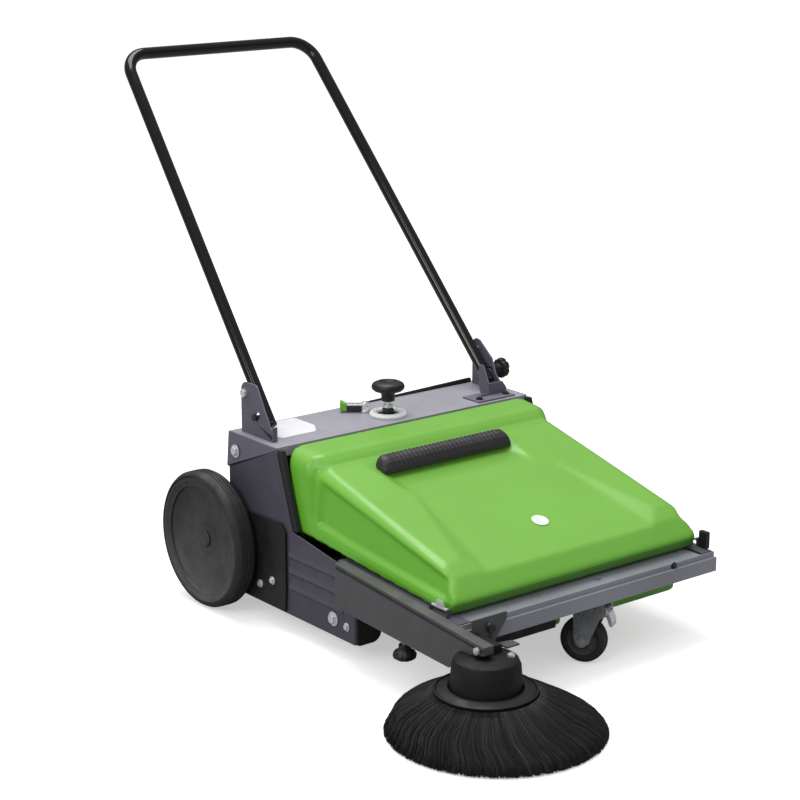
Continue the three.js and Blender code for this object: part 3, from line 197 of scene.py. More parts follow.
MAT = {
    # the side panel's field paints light on its upper strip, and its flank setting paints light
    # and shade on the pressed flanks
    "panel": material(
        "paint_chassis", srgb(70, 67, 79), rough=0.42, tone_var=0.08, bump=0.35, grain=900,
        speck=0.08, wear=0.35, wear_colour=srgb(150, 148, 158), dust=0.10,
        field=dict(slope=0.3776, level=0.3488, gain=1.75), flank=dict(reach=0.4, change=0.6)),
    "plate": material(
        "paint_top_plate", srgb(160, 158, 168), rough=0.42, tone_var=0.05, bump=0.3, grain=900,
        speck=0.05, wear=0.3, wear_colour=srgb(200, 200, 205), dust=0.05),
    "crossbar": material(
        "paint_crossbar", srgb(136, 139, 147), rough=0.38, tone_var=0.10, bump=0.3, grain=900,
        speck=0.07, wear=0.5, wear_colour=srgb(170, 175, 182), dust=0.12),
    "arm": material(
        "paint_arm", srgb(76, 75, 77), rough=0.45, tone_var=0.10, bump=0.35, grain=800,
        speck=0.08, wear=0.5, wear_colour=srgb(150, 150, 150), dust=0.15),
    # the paler colour on the hopper's tops is a painted sheen, and its tone attribute adds painted
    # shade
    "hopper": material(
        "plastic_green", srgb(122, 184, 72), rough=0.36, tone_var=0.045, tone_scale=5, bump=0.10,
        grain=1300, bump_depth=0.0002, speck=0.03, rough_var=0.06, coat=0.12,
        upright=srgb(106, 184, 46), tone_attr=True),
    "black_plastic": material(
        "plastic_black", srgb(25, 25, 26), rough=0.46, tone_var=0.2, bump=0.35, grain=1500,
        speck=0.15, dust=0.05),
    "grip": material(
        "plastic_grip", srgb(44, 41, 47), rough=0.5, tone_var=0.12, bump=0.5, grain=1700,
        speck=0.12, dust=0.06),
    "white_plastic": material(
        "plastic_white", srgb(232, 236, 233), rough=0.35, tone_var=0.03, bump=0.08, grain=900,
        speck=0.02),
    "label": material(
        "label_paper", srgb(238, 238, 242), rough=0.38, tone_var=0.03, bump=0.1, grain=500,
        speck=0.03),
    "brush_core": material(
        "plastic_brush_core", srgb(27, 27, 28), rough=0.5, tone_var=0.2, bump=0.3, grain=900,
        speck=0.1),
    "bristle": material(
        "bristle_nylon", srgb(30, 30, 31), rough=0.5, tone_var=0.2, bump=0, tone_attr=True),
    "bristle_base": material(
        "bristle_root", srgb(14, 14, 15), rough=0.8, tone_var=0.25, bump=0.6, grain=500),
    "rubber": material(
        "rubber_black", srgb(33, 33, 34), rough=0.7, tone_var=0.2, bump=0.4, grain=1100,
        speck=0.12, dust=0.12),
    "tyre": material(
        "rubber_tyre", srgb(40, 40, 40), rough=0.66, tone_var=0.18, tone_scale=12, bump=0.5,
        grain=800, speck=0.14, dust=0.2),
    # the wheel discs are painted darker towards the top, a painted shade of the dish's upper wall,
    # and lighter low down, a painted light; their pale colour on faces looking up is mostly a
    # painted highlight
    "wheel_disc": material(
        "plastic_wheel", srgb(60, 60, 60), rough=0.5, tone_var=0.4, tone_scale=13, bump=0.4,
        grain=900, speck=0.1, dust=0.55, fade=dict(source=(0.04, 0.2), result=(1.55, 0.42))),
    "tube": material(
        "paint_tube_gloss", srgb(6, 6, 7), rough=0.13, tone_var=0.2, bump=0.05, grain=300,
        rough_var=0.03, coat=0.35, spec=0.4),
    "chrome": material(
        "metal_bright", srgb(236, 236, 240), rough=0.26, metal=0.72, tone_var=0.08, bump=0.12,
        grain=700, rough_var=0.08),
    "zinc": material(
        "metal_zinc", srgb(186, 188, 192), rough=0.36, metal=0.7, tone_var=0.22, tone_scale=40,
        bump=0.2, grain=500, rough_var=0.14),
    "cup": material(
        "plastic_cup", srgb(19, 19, 20), rough=0.58, tone_var=0.2, bump=0.35, grain=1500,
        speck=0.15, spec=0.35),
    "dark_steel": material(
        "metal_dark", srgb(62, 62, 66), rough=0.42, metal=0.7, tone_var=0.2, tone_scale=30,
        bump=0.2, grain=600),
}


def paint(obj, key):
    obj.data.materials.clear()
    obj.data.materials.append(MAT[key])


# ------------------------------------------------------------------ mesh helpers
def link_object(name, data):
    obj = bpy.data.objects.new(name, data)
    bpy.context.scene.collection.objects.link(obj)
    return obj


def mesh_object(name, verts, faces, body, key, smooth=True):
    """An object from points in machine mm; the slot is the material key unless given."""
    mesh = bpy.data.meshes.new(name)
    points = (np.asarray(verts, float).reshape(-1, 3) + MACHINE_ORIGIN) / 1000
    mesh.from_pydata(points.tolist(), [], [tuple(int(i) for i in face) for face in faces])
    mesh.validate()
    mesh.update()
    mesh.polygons.foreach_set("use_smooth", [smooth] * len(mesh.polygons))
    obj = link_object(name, mesh)
    paint(obj, key)
    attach(obj, body)
    return obj


def bevel(obj, width, segments=2, degrees=30):
    mod = obj.modifiers.new("bevel", "BEVEL")
    mod.width = width / 1000
    mod.segments = segments
    mod.limit_method = "ANGLE"
    mod.angle_limit = math.radians(degrees)
    mod.harden_normals = True
    mod.use_clamp_overlap = True


def weld(obj, distance):
    obj.modifiers.new("weld", "WELD").merge_threshold = distance


def clean(obj, sharp_degrees=40):
    """Merges doubled points, turns faces outwards and shades smooth up to the sharp angle."""
    import bmesh
    bm = bmesh.new()
    bm.from_mesh(obj.data)
    bmesh.ops.remove_doubles(bm, verts=bm.verts, dist=2e-6)
    bmesh.ops.dissolve_degenerate(bm, dist=1e-6, edges=bm.edges)
    bmesh.ops.recalc_face_normals(bm, faces=bm.faces)
    bm.to_mesh(obj.data)
    bm.free()
    obj.data.polygons.foreach_set("use_smooth", [True] * len(obj.data.polygons))
    obj.data.set_sharp_from_angle(angle=math.radians(sharp_degrees))


def fillet(outline, radius, steps=4):
    """Rounds the corners of a closed 2-D outline that turn by 12 degrees or more."""
    rounded = []
    for i, point in enumerate(outline):
        corner = np.array(point, float)
        back = np.array(outline[i - 1], float) - corner
        ahead = np.array(outline[(i + 1) % len(outline)], float) - corner
        back_len, ahead_len = np.linalg.norm(back), np.linalg.norm(ahead)
        back, ahead = back / back_len, ahead / ahead_len
        angle = math.acos(max(-1, min(1, float(back @ ahead))))
        if math.pi - angle < math.radians(12):
            rounded.append(tuple(point))
            continue
        cut = min(radius / math.tan(angle / 2), back_len * 0.45, ahead_len * 0.45)
        start, end = corner + back * cut, corner + ahead * cut
        for k in range(steps + 1):
            w = k / steps
            rounded.append(tuple((1 - w) ** 2 * start + 2 * w * (1 - w) * corner + w * w * end))
    return rounded


def ring_faces(rings, points):
    """Quads between closed outlines that follow one another all the way round an axis."""
    return [(i * points + k, j * points + k, j * points + l, i * points + l)
            for i, j in ((i, (i + 1) % rings) for i in range(rings))
            for k, l in ((k, (k + 1) % points) for k in range(points))]


def loft_faces(stations, points):
    """Quads between successive closed outlines, then a cap on each end."""
    faces = [(i * points + k, i * points + l, (i + 1) * points + l, (i + 1) * points + k)
             for i in range(stations - 1)
             for k, l in ((k, (k + 1) % points) for k in range(points))]
    faces.append(tuple(range(points))[::-1])
    faces.append(tuple((stations - 1) * points + k for k in range(points)))
    return faces


def prism_faces(points):
    """The two caps, then the sides, of an outline extruded once."""
    faces = loft_faces(2, points)
    return faces[-2:] + faces[:-2]


def about_x(y, z):
    return lambda a, b, h: (h, y + a, z + b)


def about_z(x, y):
    return lambda a, b, h: (x + a, y + b, h)


def lathe(name, body, key, place, segments, fillet_r, profile, replaces=None,
          lobes=None, corner_steps=4):
    """Turns a closed profile of (radius, height along the axis) into a solid.

    place maps (across, across, along) the axis to machine mm; lobes scales the radius by angle.
    """
    outline = fillet(profile, fillet_r, corner_steps)
    verts = []
    for angle in np.linspace(0, 2 * np.pi, segments, endpoint=False):
        swell = lobes(angle) if lobes else 1.0
        for radius, height in outline:
            reach = radius * (swell if radius > 0.5 else 1.0)
            verts.append(place(reach * math.cos(angle), reach * math.sin(angle), height))
    obj = mesh_object(name, verts, ring_faces(segments, len(outline)), body, key)
    clean(obj)
    if replaces:
        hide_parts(replaces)
    return obj


def sweep(name, path, radii, body, key, segments):
    """A round tube with one radius per path point; the path must not start upright."""
    path = [np.array(point, float) for point in path]
    last = len(path) - 1
    tangents = []
    for i in range(last + 1):
        along = path[min(i + 1, last)] - path[max(i - 1, 0)]
        tangents.append(along / np.linalg.norm(along))
    side = np.cross(tangents[0], np.array([0, 0, 1.0]))
    verts = []
    for centre, tangent, radius in zip(path, tangents, radii):
        side = side - tangent * (side @ tangent)
        side /= np.linalg.norm(side)
        across = np.cross(tangent, side)
        for k in range(segments):
            angle = 2 * math.pi * k / segments
            verts.append(centre + radius * (math.cos(angle) * side + math.sin(angle) * across))
    obj = mesh_object(name, verts, loft_faces(last + 1, segments), body, key)
    clean(obj)
    return obj


def strands(name, paths, radii, tones, body, replaces):
    """Many thin three-sided filaments; paths is (count, stations, 3), radii is per station."""
    sides = 3
    paths = np.asarray(paths, float)
    count, stations, _ = paths.shape
    tangent = np.gradient(paths, axis=1)
    tangent /= np.linalg.norm(tangent, axis=2, keepdims=True) + 1e-9
    steep = np.abs(tangent[..., 2:3]) >= 0.95
    u = np.cross(tangent, np.where(steep, np.array([1.0, 0, 0]), np.array([0, 0, 1.0])))
    u /= np.linalg.norm(u, axis=2, keepdims=True) + 1e-9
    w = np.cross(tangent, u)
    radii = np.asarray(radii, float)[:, None]
    corners = []
    for k in range(sides):
        angle = 2 * math.pi * k / sides
        corners.append(paths + radii * (math.cos(angle) * u + math.sin(angle) * w))
    verts = np.stack(corners, axis=2).reshape(-1, 3)
    first = np.arange(count) * stations * sides
    ring = first[:, None, None] + (np.arange(stations - 1) * sides)[None, :, None]
    k = np.arange(sides)
    l = (k + 1) % sides
    quads = np.stack([ring + k, ring + l, ring + sides + l, ring + sides + k], axis=-1)
    caps = np.concatenate([first[:, None] + k[::-1],
                           first[:, None] + (stations - 1) * sides + k])
    faces = quads.reshape(-1, 4).tolist() + caps.tolist()
    obj = mesh_object(name, verts, faces, body, "bristle")
    tone = obj.data.attributes.new("tone", "FLOAT", "POINT")
    tone.data.foreach_set("value", np.repeat(np.asarray(tones, np.float32), stations * sides))
    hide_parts(replaces)


def remeshed(node, name, body, key, voxel, smooth, sculpt=None, after=0, tone_of=None):
    """A CAD solid rebuilt as an even skin whose edges are rounded like a moulding.

    voxel is in mm; smooth and after count the smoothing passes before and after sculpt.
    """
    source = link_object(name + "_tmp", nodes[node].data.copy())
    weld(source, 1e-5)
    mod = source.modifiers.new("remesh", "REMESH")
    mod.mode = "VOXEL"
    mod.voxel_size = voxel / 1000
    mod.adaptivity = 0
    depsgraph = bpy.context.evaluated_depsgraph_get()
    skin = bpy.data.meshes.new_from_object(source.evaluated_get(depsgraph))
    bpy.data.objects.remove(source)
    count = len(skin.vertices)
    points = np.zeros(count * 3)
    skin.vertices.foreach_get("co", points)
    points = points.reshape(-1, 3) * 1000 - MACHINE_ORIGIN
    edges = np.zeros(len(skin.edges) * 2, int)
    skin.edges.foreach_get("vertices", edges)
    edges = edges.reshape(-1, 2)
    neighbours = np.bincount(edges.ravel(), minlength=count)[:, None]

    def flow(points, passes):
        """Moves each point half way to the mean of its neighbours."""
        for _ in range(passes):
            total = np.zeros_like(points)
            np.add.at(total, edges[:, 0], points[edges[:, 1]])
            np.add.at(total, edges[:, 1], points[edges[:, 0]])
            points = points + 0.5 * (total / neighbours - points)
        return points

    points = flow(points, smooth)
    if sculpt:
        points = flow(sculpt(points), after)
    skin.vertices.foreach_set("co", ((points + MACHINE_ORIGIN) / 1000).ravel())
    skin.update()
    skin.name = name
    obj = link_object(name, skin)
    if "custom_normal" in skin.attributes:
        skin.attributes.remove(skin.attributes["custom_normal"])
    # brightness per point for the attribute "tone"; the hopper's is painted shade
    tones = tone_of(points).astype(np.float32) if tone_of else np.ones(count, np.float32)
    skin.attributes.new("tone", "FLOAT", "POINT").data.foreach_set("value", tones)
    skin.polygons.foreach_set("use_smooth", [True] * len(skin.polygons))
    paint(obj, key)
    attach(obj, body)
    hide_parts(node)


def rise(value, start, end):
    """Smooth step from 0 at start to 1 at end."""
    t = np.clip((value - start) / (end - start), 0, 1)
    return t * t * (3 - 2 * t)


def fall(value, start, end):
    return 1 - rise(value, start, end)


def bell(distance, width):
    return np.exp(-(distance / width) ** 2)


# ------------------------------------------------------------------ CAD pieces
EDGE_WIDTH = {      # bevel widths, mm; other pieces take DEFAULT_EDGE
    "top_plate": 0.6, "side_panel_left": 0.6, "side_panel_right": 0.6, "front_crossbar": 0.6,
    "brush_arm": 0.7, "drive_cover": 1.4, "skirt_left": 0.8, "skirt_right": 0.8,
    "brush_gearbox": 1.2, "edge_seal_left": 1.0, "edge_seal_right": 1.0,
    "rear_edge_strip": 0.8, "crossbar_end_cap": 1.2, "rear_flap": 0.6, "caster_fork": 0.5,
    "caster_brake": 0.6}
DEFAULT_EDGE = 0.35
REPLACED = {
    "handle_tube", "tyre_left", "tyre_right", "wheel_disc_left", "wheel_disc_right", "hopper",
    "hopper_grip", "hopper_badge", "main_brush_bristles", "main_brush_core",
    "side_brush_bristles", "side_brush_disc", "height_knob", "height_dial", "clamp_knob",
    "arm_knob", "caster_wheel", "lock_lever_grip", "wheel_axle", "lock_lever",
    "panel_bolt_left", "skirt_bolt_left"}


def dress_cad_nodes():
    """Paints every CAD piece and rounds the edges of those that stay."""
    record_slot = {part["node"]: part["material_slot"] for part in frame["record"]["subparts"]}
    for name, obj in nodes.items():
        if name in REPLACED:
            paint(obj, record_slot[name] if record_slot[name] in MAT else "black_plastic")
            continue
        paint(obj, "cup" if name == "brush_gearbox" else record_slot[name])
        if "custom_normal" in obj.data.attributes:
            obj.data.attributes.remove(obj.data.attributes["custom_normal"])
        obj.data.polygons.foreach_set("use_smooth", [True] * len(obj.data.polygons))
        weld(obj, 2e-6)
        bevel(obj, EDGE_WIDTH.get(name, DEFAULT_EDGE), degrees=32)


# ------------------------------------------------------------------ handle
HANDLE_FOOT = (251.7, -104.4, 348.4)        # right foot; the left one mirrors it
HANDLE_CORNER = (212.1, 411.8, 946.5)       # right top corner before it is bent
HANDLE_BEND_R = 46
HANDLE_TUBE_R = 11
HANDLE_LEG_SHARE = 0.86                     # straight part of a leg, up to the bend


def handle_bend(before, corner, after, steps=14):
    u, v = before - corner, after - corner
    u, v = u / np.linalg.norm(u), v / np.linalg.norm(v)
    angle = math.acos(float(u @ v))
    cut = HANDLE_BEND_R / math.tan(angle / 2)
    centre = corner + (u + v) / np.linalg.norm(u + v) * HANDLE_BEND_R / math.sin(angle / 2)
    a, b = corner + u * cut - centre, corner + v * cut - centre
    turn = math.acos(float(a @ b) / HANDLE_BEND_R / HANDLE_BEND_R)
    return [centre + (a * math.sin((1 - w) * turn) + b * math.sin(w * turn)) / math.sin(turn)
            for w in np.linspace(0, 1, steps)]


def handle_path():
    mirror = np.array([-1.0, 1.0, 1.0])
    right_foot, right_top = np.array(HANDLE_FOOT), np.array(HANDLE_CORNER)
    left_foot, left_top = right_foot * mirror, right_top * mirror
    up = [left_foot + (left_top - left_foot) * w for w in np.linspace(0, HANDLE_LEG_SHARE, 12)]
    left_bend = handle_bend(left_foot, left_top, right_top)
    right_bend = handle_bend(left_top, right_top, right_foot)
    span = right_bend[0] - left_bend[-1]
    top = [left_bend[-1] + span * w for w in np.linspace(0, 1, 10)[1:-1]]
    down = [right_foot + (right_top - right_foot) * w
            for w in np.linspace(HANDLE_LEG_SHARE, 0, 12)]
    return up + left_bend + top + right_bend + down


def build_handle():
    path = handle_path()
    tube = sweep("handle_tube_gloss", path, [HANDLE_TUBE_R] * len(path), "handle", "tube", 40)
    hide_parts("handle_tube")
    plug = [(0.0, 11.3), (1.2, 11.6), (3.0, 11.2), (4.6, 9.4), (5.6, 6.5), (6.0, 0.5)]
    for side, end, inside in (("left", path[0], path[1]), ("right", path[-1], path[-2])):
        outwards = (end - inside) / np.linalg.norm(end - inside)
        sweep("handle_plug_" + side, [end + outwards * reach for reach, _ in plug],
              [radius for _, radius in plug], "handle", "black_plastic", 32)


# ------------------------------------------------------------------ rear wheels
WHEEL_R = 125
WHEEL_INNER, WHEEL_OUTER = 297, 341         # faces of a wheel, distance from the centre plane


def build_wheel(side, sign):
    body = "wheel_" + side
    axle = about_x(0, WHEEL_R)
    i, o = WHEEL_INNER, WHEEL_OUTER
    tyre = [(99, i + 1.5), (104, i), (115, i + 0.6), (121.5, i + 3.5), (124.6, i + 9),
            (WHEEL_R, i + 15)]
    for groove in (i + 16.2, i + 22, i + 27.8):         # shallow running grooves
        floor_r = WHEEL_R - 1.6
        tyre += [(WHEEL_R, groove - 1.3), (floor_r, groove - 0.9), (floor_r, groove + 0.9),
                 (WHEEL_R, groove + 1.3)]
    tyre += [(WHEEL_R, o - 15), (124.6, o - 9), (121.5, o - 3.5), (118.6, o - 1.0),
             (116.6, o - 0.4), (115.9, o - 2.0), (115.7, o - 4.6), (99, o - 4.6)]
    disc = [(8.4, i + 1), (20, i + 1), (26, i + 12), (76, i + 12), (86, i + 3), (98.6, i + 3),
            (98.6, o - 4.4), (115.2, o - 4.4), (115.2, o - 1.5), (112.5, o - 0.5),
            (109, o - 1.2), (106, o - 3.4), (98, o - 10), (88, o - 16.5), (76, o - 20),
            (60, o - 21.6), (44, o - 21.8), (30, o - 20.6), (24, o - 18), (19, o - 16.6),
            (8.4, o - 16.6)]
    # domed cap over the axle end
    cap = [(0.01, o - 16.5), (15.5, o - 16.5), (15.5, o - 13.5), (13, o - 11), (8, o - 9.4),
           (0.01, o - 9.0)]

    def sided(profile):
        return [(radius, sign * x) for radius, x in profile]

    lathe("tyre_" + side + "_rubber", body, "tyre", axle, 144, 0.5, sided(tyre),
          replaces="tyre_" + side)
    lathe("wheel_disc_" + side + "_moulding", body, "wheel_disc", axle, 128, 1.6, sided(disc),
          replaces="wheel_disc_" + side)
    lathe("wheel_cap_" + side, body, "wheel_disc", axle, 64, 1.2, sided(cap))


def build_axle():
    lathe("wheel_axle_bar", "chassis", "zinc", about_x(0, WHEEL_R), 48, 0.3,
          [(0.01, -323), (7.4, -323), (8.2, -321.5), (8.2, 321.5), (7.4, 323), (0.01, 323)],
          replaces="wheel_axle")


# ------------------------------------------------------------------ hopper
LID_REAR_Y, LID_REAR_Z, LID_SLOPE = -262.0, 308.0, 0.255
NOSE_Y, NOSE_DROP, NOSE_LENGTH = -360, 16, 285      # ahead of NOSE_Y the lid falls more steeply
GRIP_X = -20.0                                      # middle of the grip and its pocket


def lid(y):
    return LID_REAR_Z + (y - LID_REAR_Y) * LID_SLOPE


def lip(y):
    """Height of the hopper's lower edge, with a kink at y = -353."""
    return np.where(y > -353, 172.5 + (y + 353) * (15 / 138), 172.5 + (y + 353) * (19.5 / 283))


def sculpt_hopper(co):
    x, y, z = co[:, 0].copy(), co[:, 1].copy(), co[:, 2].copy()
    ax = np.abs(x)
    # wedge-shaped facet pressed in between the lid's edge and a lower ridge, narrowing forwards
    facet_depth = 8.0
    low = lip(y) + np.interp(-y, [262, 600], [31, 20])
    up = lid(y) - np.interp(-y, [262, 600], [24, 17])
    facet = (rise(z, low - 4, low + 4) * fall(z, up - 5, up + 9) * rise(-y, 268, 276)
             * fall(-y, 600, 620) * rise(ax, 236, 252))
    x -= np.sign(x) * facet_depth * facet
    # beads along the lower ridge and under it: offset from the ridge, height, width
    for offset, height, width in ((-1.0, 2.0, 2.6), (-12.0, 1.5, 2.2), (-20.0, 1.0, 2.0)):
        bead = (bell(z - (low + offset), width) * rise(-y, 268, 285) * fall(-y, 596, 616)
                * rise(ax, 258, 266))
        x += np.sign(x) * height * bead
    # the groove between the rear band and the facet, curving down the side
    groove_depth = 2.6
    groove_y = -256.0 - 6.0 * np.clip((300 - z) / 100, 0, 1)
    groove = (bell(y - groove_y, 3.0) * rise(z, low + 2, low + 14) * fall(z, 296, 306)
              * rise(ax, 240, 256))
    x -= np.sign(x) * groove_depth * groove
    # soft crease where the rear band meets the lid
    crease_depth = 1.6
    z -= crease_depth * bell(y + 268, 3.4) * fall(ax, 236, 250) * (z > 285)
    # pocket in front of the grip, deepest under it and widening forwards
    pocket_depth = 6.5
    ahead = np.clip((-y - 318) / 62, 0, 1)
    half = 138 + 10 * ahead
    pocket = (rise(-y, 306, 318) * (1 - ahead) ** 1.3
              * fall(np.abs(x - GRIP_X), half - 13, half + 9) * (np.abs(z - lid(y)) < 24))
    z -= pocket_depth * pocket
    # the front lip turns under, with a bead along the fold
    under = rise(-y, 618, 632) * fall(z, lip(y) + 15, lip(y) + 21)
    y += under * np.clip(lip(y) + 21 - z, 0, 22) * 0.30
    bead = bell(z - (lip(-636) + 21), 2.6) * rise(-y, 624, 634) * fall(ax, 258, 270)
    y -= 1.4 * bead
    co[:, 0], co[:, 1], co[:, 2] = x, y, z
    return co


def hopper_painted_shade(co):
    """Painted shade: darkens the under-turned lip, the foot of the side walls and the grip's
    pocket.
    """
    x, y, z = co[:, 0], co[:, 1], co[:, 2]
    tone = 1 - 0.50 * rise(-y, 612, 622) * fall(z, lip(y) + 15, lip(y) + 20)
    tone *= 1 - 0.30 * fall(z, lip(y) + 2, lip(y) + 9) * (y > -612)
    pocket = ((1 - np.clip((-y - 318) / 50, 0, 1)) * rise(-y, 306, 320)
              * fall(np.abs(x - GRIP_X), 128, 150) * (np.abs(z - lid(y)) < 24))
    return tone * (1 - 0.22 * pocket)


def build_grip_bar():
    """Ribbed bar across the lid, with quarter-round ends."""
    rear, front, half, end_len, foot = -287.0, -322.0, 144.0, 17, -2.4
    # cross-section (y, height above the lid)
    section = fillet([(rear, foot), (front, foot), (front + 0.6, 7), (front + 6, 16),
                      (front + 13, 20), (rear - 11, 20.6), (rear - 3, 16.5), (rear, 8)], 5.0, 5)
    # stations: (x from the middle, share of full size)
    left_end = [(-half + end_len * (1 - math.cos(t * math.pi / 2)), math.sin(t * math.pi / 2))
                for t in np.linspace(0, 1, 15)[:-1]]
    middle = [(x, 1.0) for x in np.arange(-half + end_len, half - end_len + 0.1, 1.5)]
    stations = left_end + middle + [(-x, size) for x, size in reversed(left_end)]
    mid_y = (rear + front) / 2
    verts = []
    for x, size in stations:
        size = max(size, 0.12)
        for y, height in section:
            place_y = mid_y + (y - mid_y) * (0.62 + 0.38 * size)
            place_h = foot + (height - foot) * (0.30 + 0.70 * size)
            if height > 5:
                rib = 0.55 * math.sin(x * 2 * math.pi / 9.0) * (1 if abs(x) < 122 else 0)
                place_h += rib
                place_y -= rib * 0.5 if y < mid_y else 0
            verts.append((GRIP_X + x, place_y, lid(place_y) + place_h))
    bar = mesh_object("hopper_grip_bar", verts, loft_faces(len(stations), len(section)),
                      "hopper_body", "grip")
    clean(bar, sharp_degrees=60)
    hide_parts("hopper_grip")


def build_pan_shade_strip():
    """Painted shade: a black strip along the pan's front, on the caster's -X side, where the pan
    lies in shade.
    """
    section = ((-611.6, 70), (-613.6, 71), (-613.9, 84), (-613.6, 98), (-611.6, 99))    # (y, z)
    verts = [(x, y, z) for x in (-244.0, -34.0) for y, z in section]
    dark_strip = mesh_object("pan_shade_strip", verts, loft_faces(2, len(section)), "hopper_body", "rubber")
    clean(dark_strip)
    bevel(dark_strip, 0.4)


def build_badge():
    """Rimmed white disc lying on the sloping nose of the lid."""
    x, y = 1.0, -532.0
    normal = Vector((0, -LID_SLOPE - NOSE_DROP / NOSE_LENGTH, 1)).normalized()
    tilt = Vector((0, 0, 1)).rotation_difference(normal).to_matrix()
    centre = Vector((x, y, lid(y) - NOSE_DROP * (NOSE_Y - y) / NOSE_LENGTH + 0.6))
    lathe("hopper_badge_disc", "hopper_body", "white_plastic",
          lambda a, b, h: tuple(tilt @ Vector((a, b, h)) + centre), 64, 0.3,
          [(0.01, 0), (15, 0), (15.4, 1.1), (13.6, 1.6), (13.0, 1.25), (0.01, 1.25)],
          corner_steps=3, replaces="hopper_badge")


# ------------------------------------------------------------------ lock lever
LEVER_PIVOT, LEVER_TIP = np.array([-24.0, -81.0]), np.array([-60.0, -52.0])     # (x, y)


def build_lock_lever():
    lathe("lock_lever_boss", "lever", "chrome", about_z(*LEVER_PIVOT), 64, 0.5,
          [(0.01, 327.4), (9.4, 327.4), (9.4, 331), (8.2, 331.8), (8.2, 344), (7.4, 345.4),
           (5, 345.8), (4.6, 347.2), (0.01, 347.4)], replaces="lock_lever")
    along = (LEVER_TIP - LEVER_PIVOT) / np.linalg.norm(LEVER_TIP - LEVER_PIVOT)
    across = np.array([-along[1], along[0]])
    # name, half width, bottom, top, start and end along the lever, material
    for name, half, bottom, top, start, end, key in (
            ("lock_lever_arm", 6.0, 329.0, 339.6, 6.0, 34.0, "dark_steel"),
            ("lock_lever_plate", 8.0, 340.2, 343.0, -8.0, 33.6, "chrome")):
        verts = []
        for height in (bottom, top):
            for reach, side in ((start, -half), (end, -half), (end, half), (start, half)):
                verts.append((*(LEVER_PIVOT + along * reach + across * side), height))
        bar = mesh_object(name, verts, prism_faces(4), "lever", key)
        clean(bar)
        bevel(bar, 0.8, 3)


# ------------------------------------------------------------------ side brush
BRUSH_X, BRUSH_Y = -297.0, -741.0
FILAMENT_LINE = np.array([      # (radius, z) of the outermost filaments, root to tip
    (74, 60), (77.8, 67), (82, 69.3), (104, 59.3), (129, 46), (152, 31), (168, 16),
    (174.5, 7.5), (176.5, 2.5)])
MASS_PROFILE = [                # (radius, z) of the closed mass under them
    (77.4, 46), (77.4, 65), (82, 66), (104, 56.5), (129, 43), (150, 28.5), (163, 16.5),
    (171.5, 8), (173, 4), (160, 4), (148, 11), (126, 24), (100, 36)]


def brush_point(radius, angle, z, cos=np.cos, sin=np.sin):
    """Coordinates about the side brush; low points lean forwards and towards +X."""
    lean = rise(45 - z, 0, 34)
    return BRUSH_X + radius * cos(angle) + 13 * lean, BRUSH_Y + radius * sin(angle) - 10 * lean, z


def build_side_brush_filaments():
    count, stations = 4200, 9
    line_r, line_z = FILAMENT_LINE.T
    arc = np.concatenate([[0], np.cumsum(np.hypot(np.diff(line_r), np.diff(line_z)))])
    share = np.linspace(0, 1, stations)[None, :]
    root_angle = rng.random(count) * 2 * np.pi
    clump = 0.012 * np.sin(root_angle * 37 + 1.3) + 0.010 * np.sin(root_angle * 61 + 0.4)
    depth = rng.random(count) ** 1.4 * 11.0
    length = (1 - 0.045 * rng.random(count) ** 2
              - 0.03 * (np.sin(root_angle * 23) > 0.75) * rng.random(count))
    wobble = rng.normal(0, 0.022, count)
    travel = arc[-1] * share * length[:, None]
    under = depth[:, None] * (0.35 + 0.65 * share)
    # tips stop at least 1.6 mm above the floor
    z = np.maximum(np.interp(travel, arc, line_z) - under, 1.6 + 2.0 * rng.random(count)[:, None])
    radius = np.interp(travel, arc, line_r) - 0.25 * under
    angle = root_angle[:, None] + (clump + wobble)[:, None] * share ** 1.5
    paths = np.stack(brush_point(radius, angle, z), axis=-1)
    # mostly dark, with a few pale filaments and paler sectors
    tone = (0.45 + 0.7 * rng.random(count) ** 3 + 2.6 * (rng.random(count) > 0.965)
            + 0.9 * (np.sin(root_angle * 19 + 1.0) > 0.9))
    strands("side_brush_filaments", paths, np.linspace(0.72, 0.5, stations), tone,
            "side_brush", "side_brush_bristles")


def build_side_brush_mass():
    """The closed mass of filaments under the outer ones, with a ragged lower rim."""
    segments = 360
    verts = []
    for k in range(segments):
        angle = 2 * math.pi * k / segments
        jitter = math.sin(k * 12.9898) * 43758.5453
        jitter -= math.floor(jitter)
        ragged = (3.2 * (jitter - 0.5) + 1.2 * math.sin(angle * 37)
                  + 1.0 * math.sin(angle * 61))
        for radius, z in MASS_PROFILE:
            outer = max(0.0, (radius - 95) / 80)
            z = max(2.0, z + outer * 2.2 * (jitter - 0.5))
            verts.append(brush_point(radius + outer * ragged, angle, z, math.cos, math.sin))
    mass = mesh_object("side_brush_filament_mass", verts,
                       ring_faces(segments, len(MASS_PROFILE)),
                       "side_brush", "bristle_base")
    clean(mass)


def build_side_brush_hub():
    axis = about_z(BRUSH_X, BRUSH_Y)
    lathe("side_brush_disc_moulding", "side_brush", "brush_core", axis, 128, 1.6,
          [(0.01, 44), (75, 44), (77.2, 47), (77.2, 66.5), (78.6, 69.2), (78.8, 71.2),
           (76.6, 72.8), (72, 74.2), (66, 76.2), (61, 76.6), (58.4, 74.8), (58, 63.4),
           (0.01, 62.8)], replaces="side_brush_disc")
    lathe("side_brush_spindle", "side_brush", "zinc", axis, 48, 0.5,
          [(0.01, 60), (8.8, 60), (8.8, 96), (0.01, 96)])
    # wire hoop that holds the roots of the filaments down
    lathe("side_brush_hoop", "side_brush", "dark_steel", axis, 128, 0.6,
          [(80.2, 69.6), (81.6, 70.2), (82.2, 71.6), (81.6, 73.0), (80.2, 73.6), (78.9, 72.4),
           (78.9, 70.6)])


# ------------------------------------------------------------------ main brush
ROLLER_Y, ROLLER_Z = -215.0, 92.0
ROLLER_SPAN = 472                           # length covered by filaments


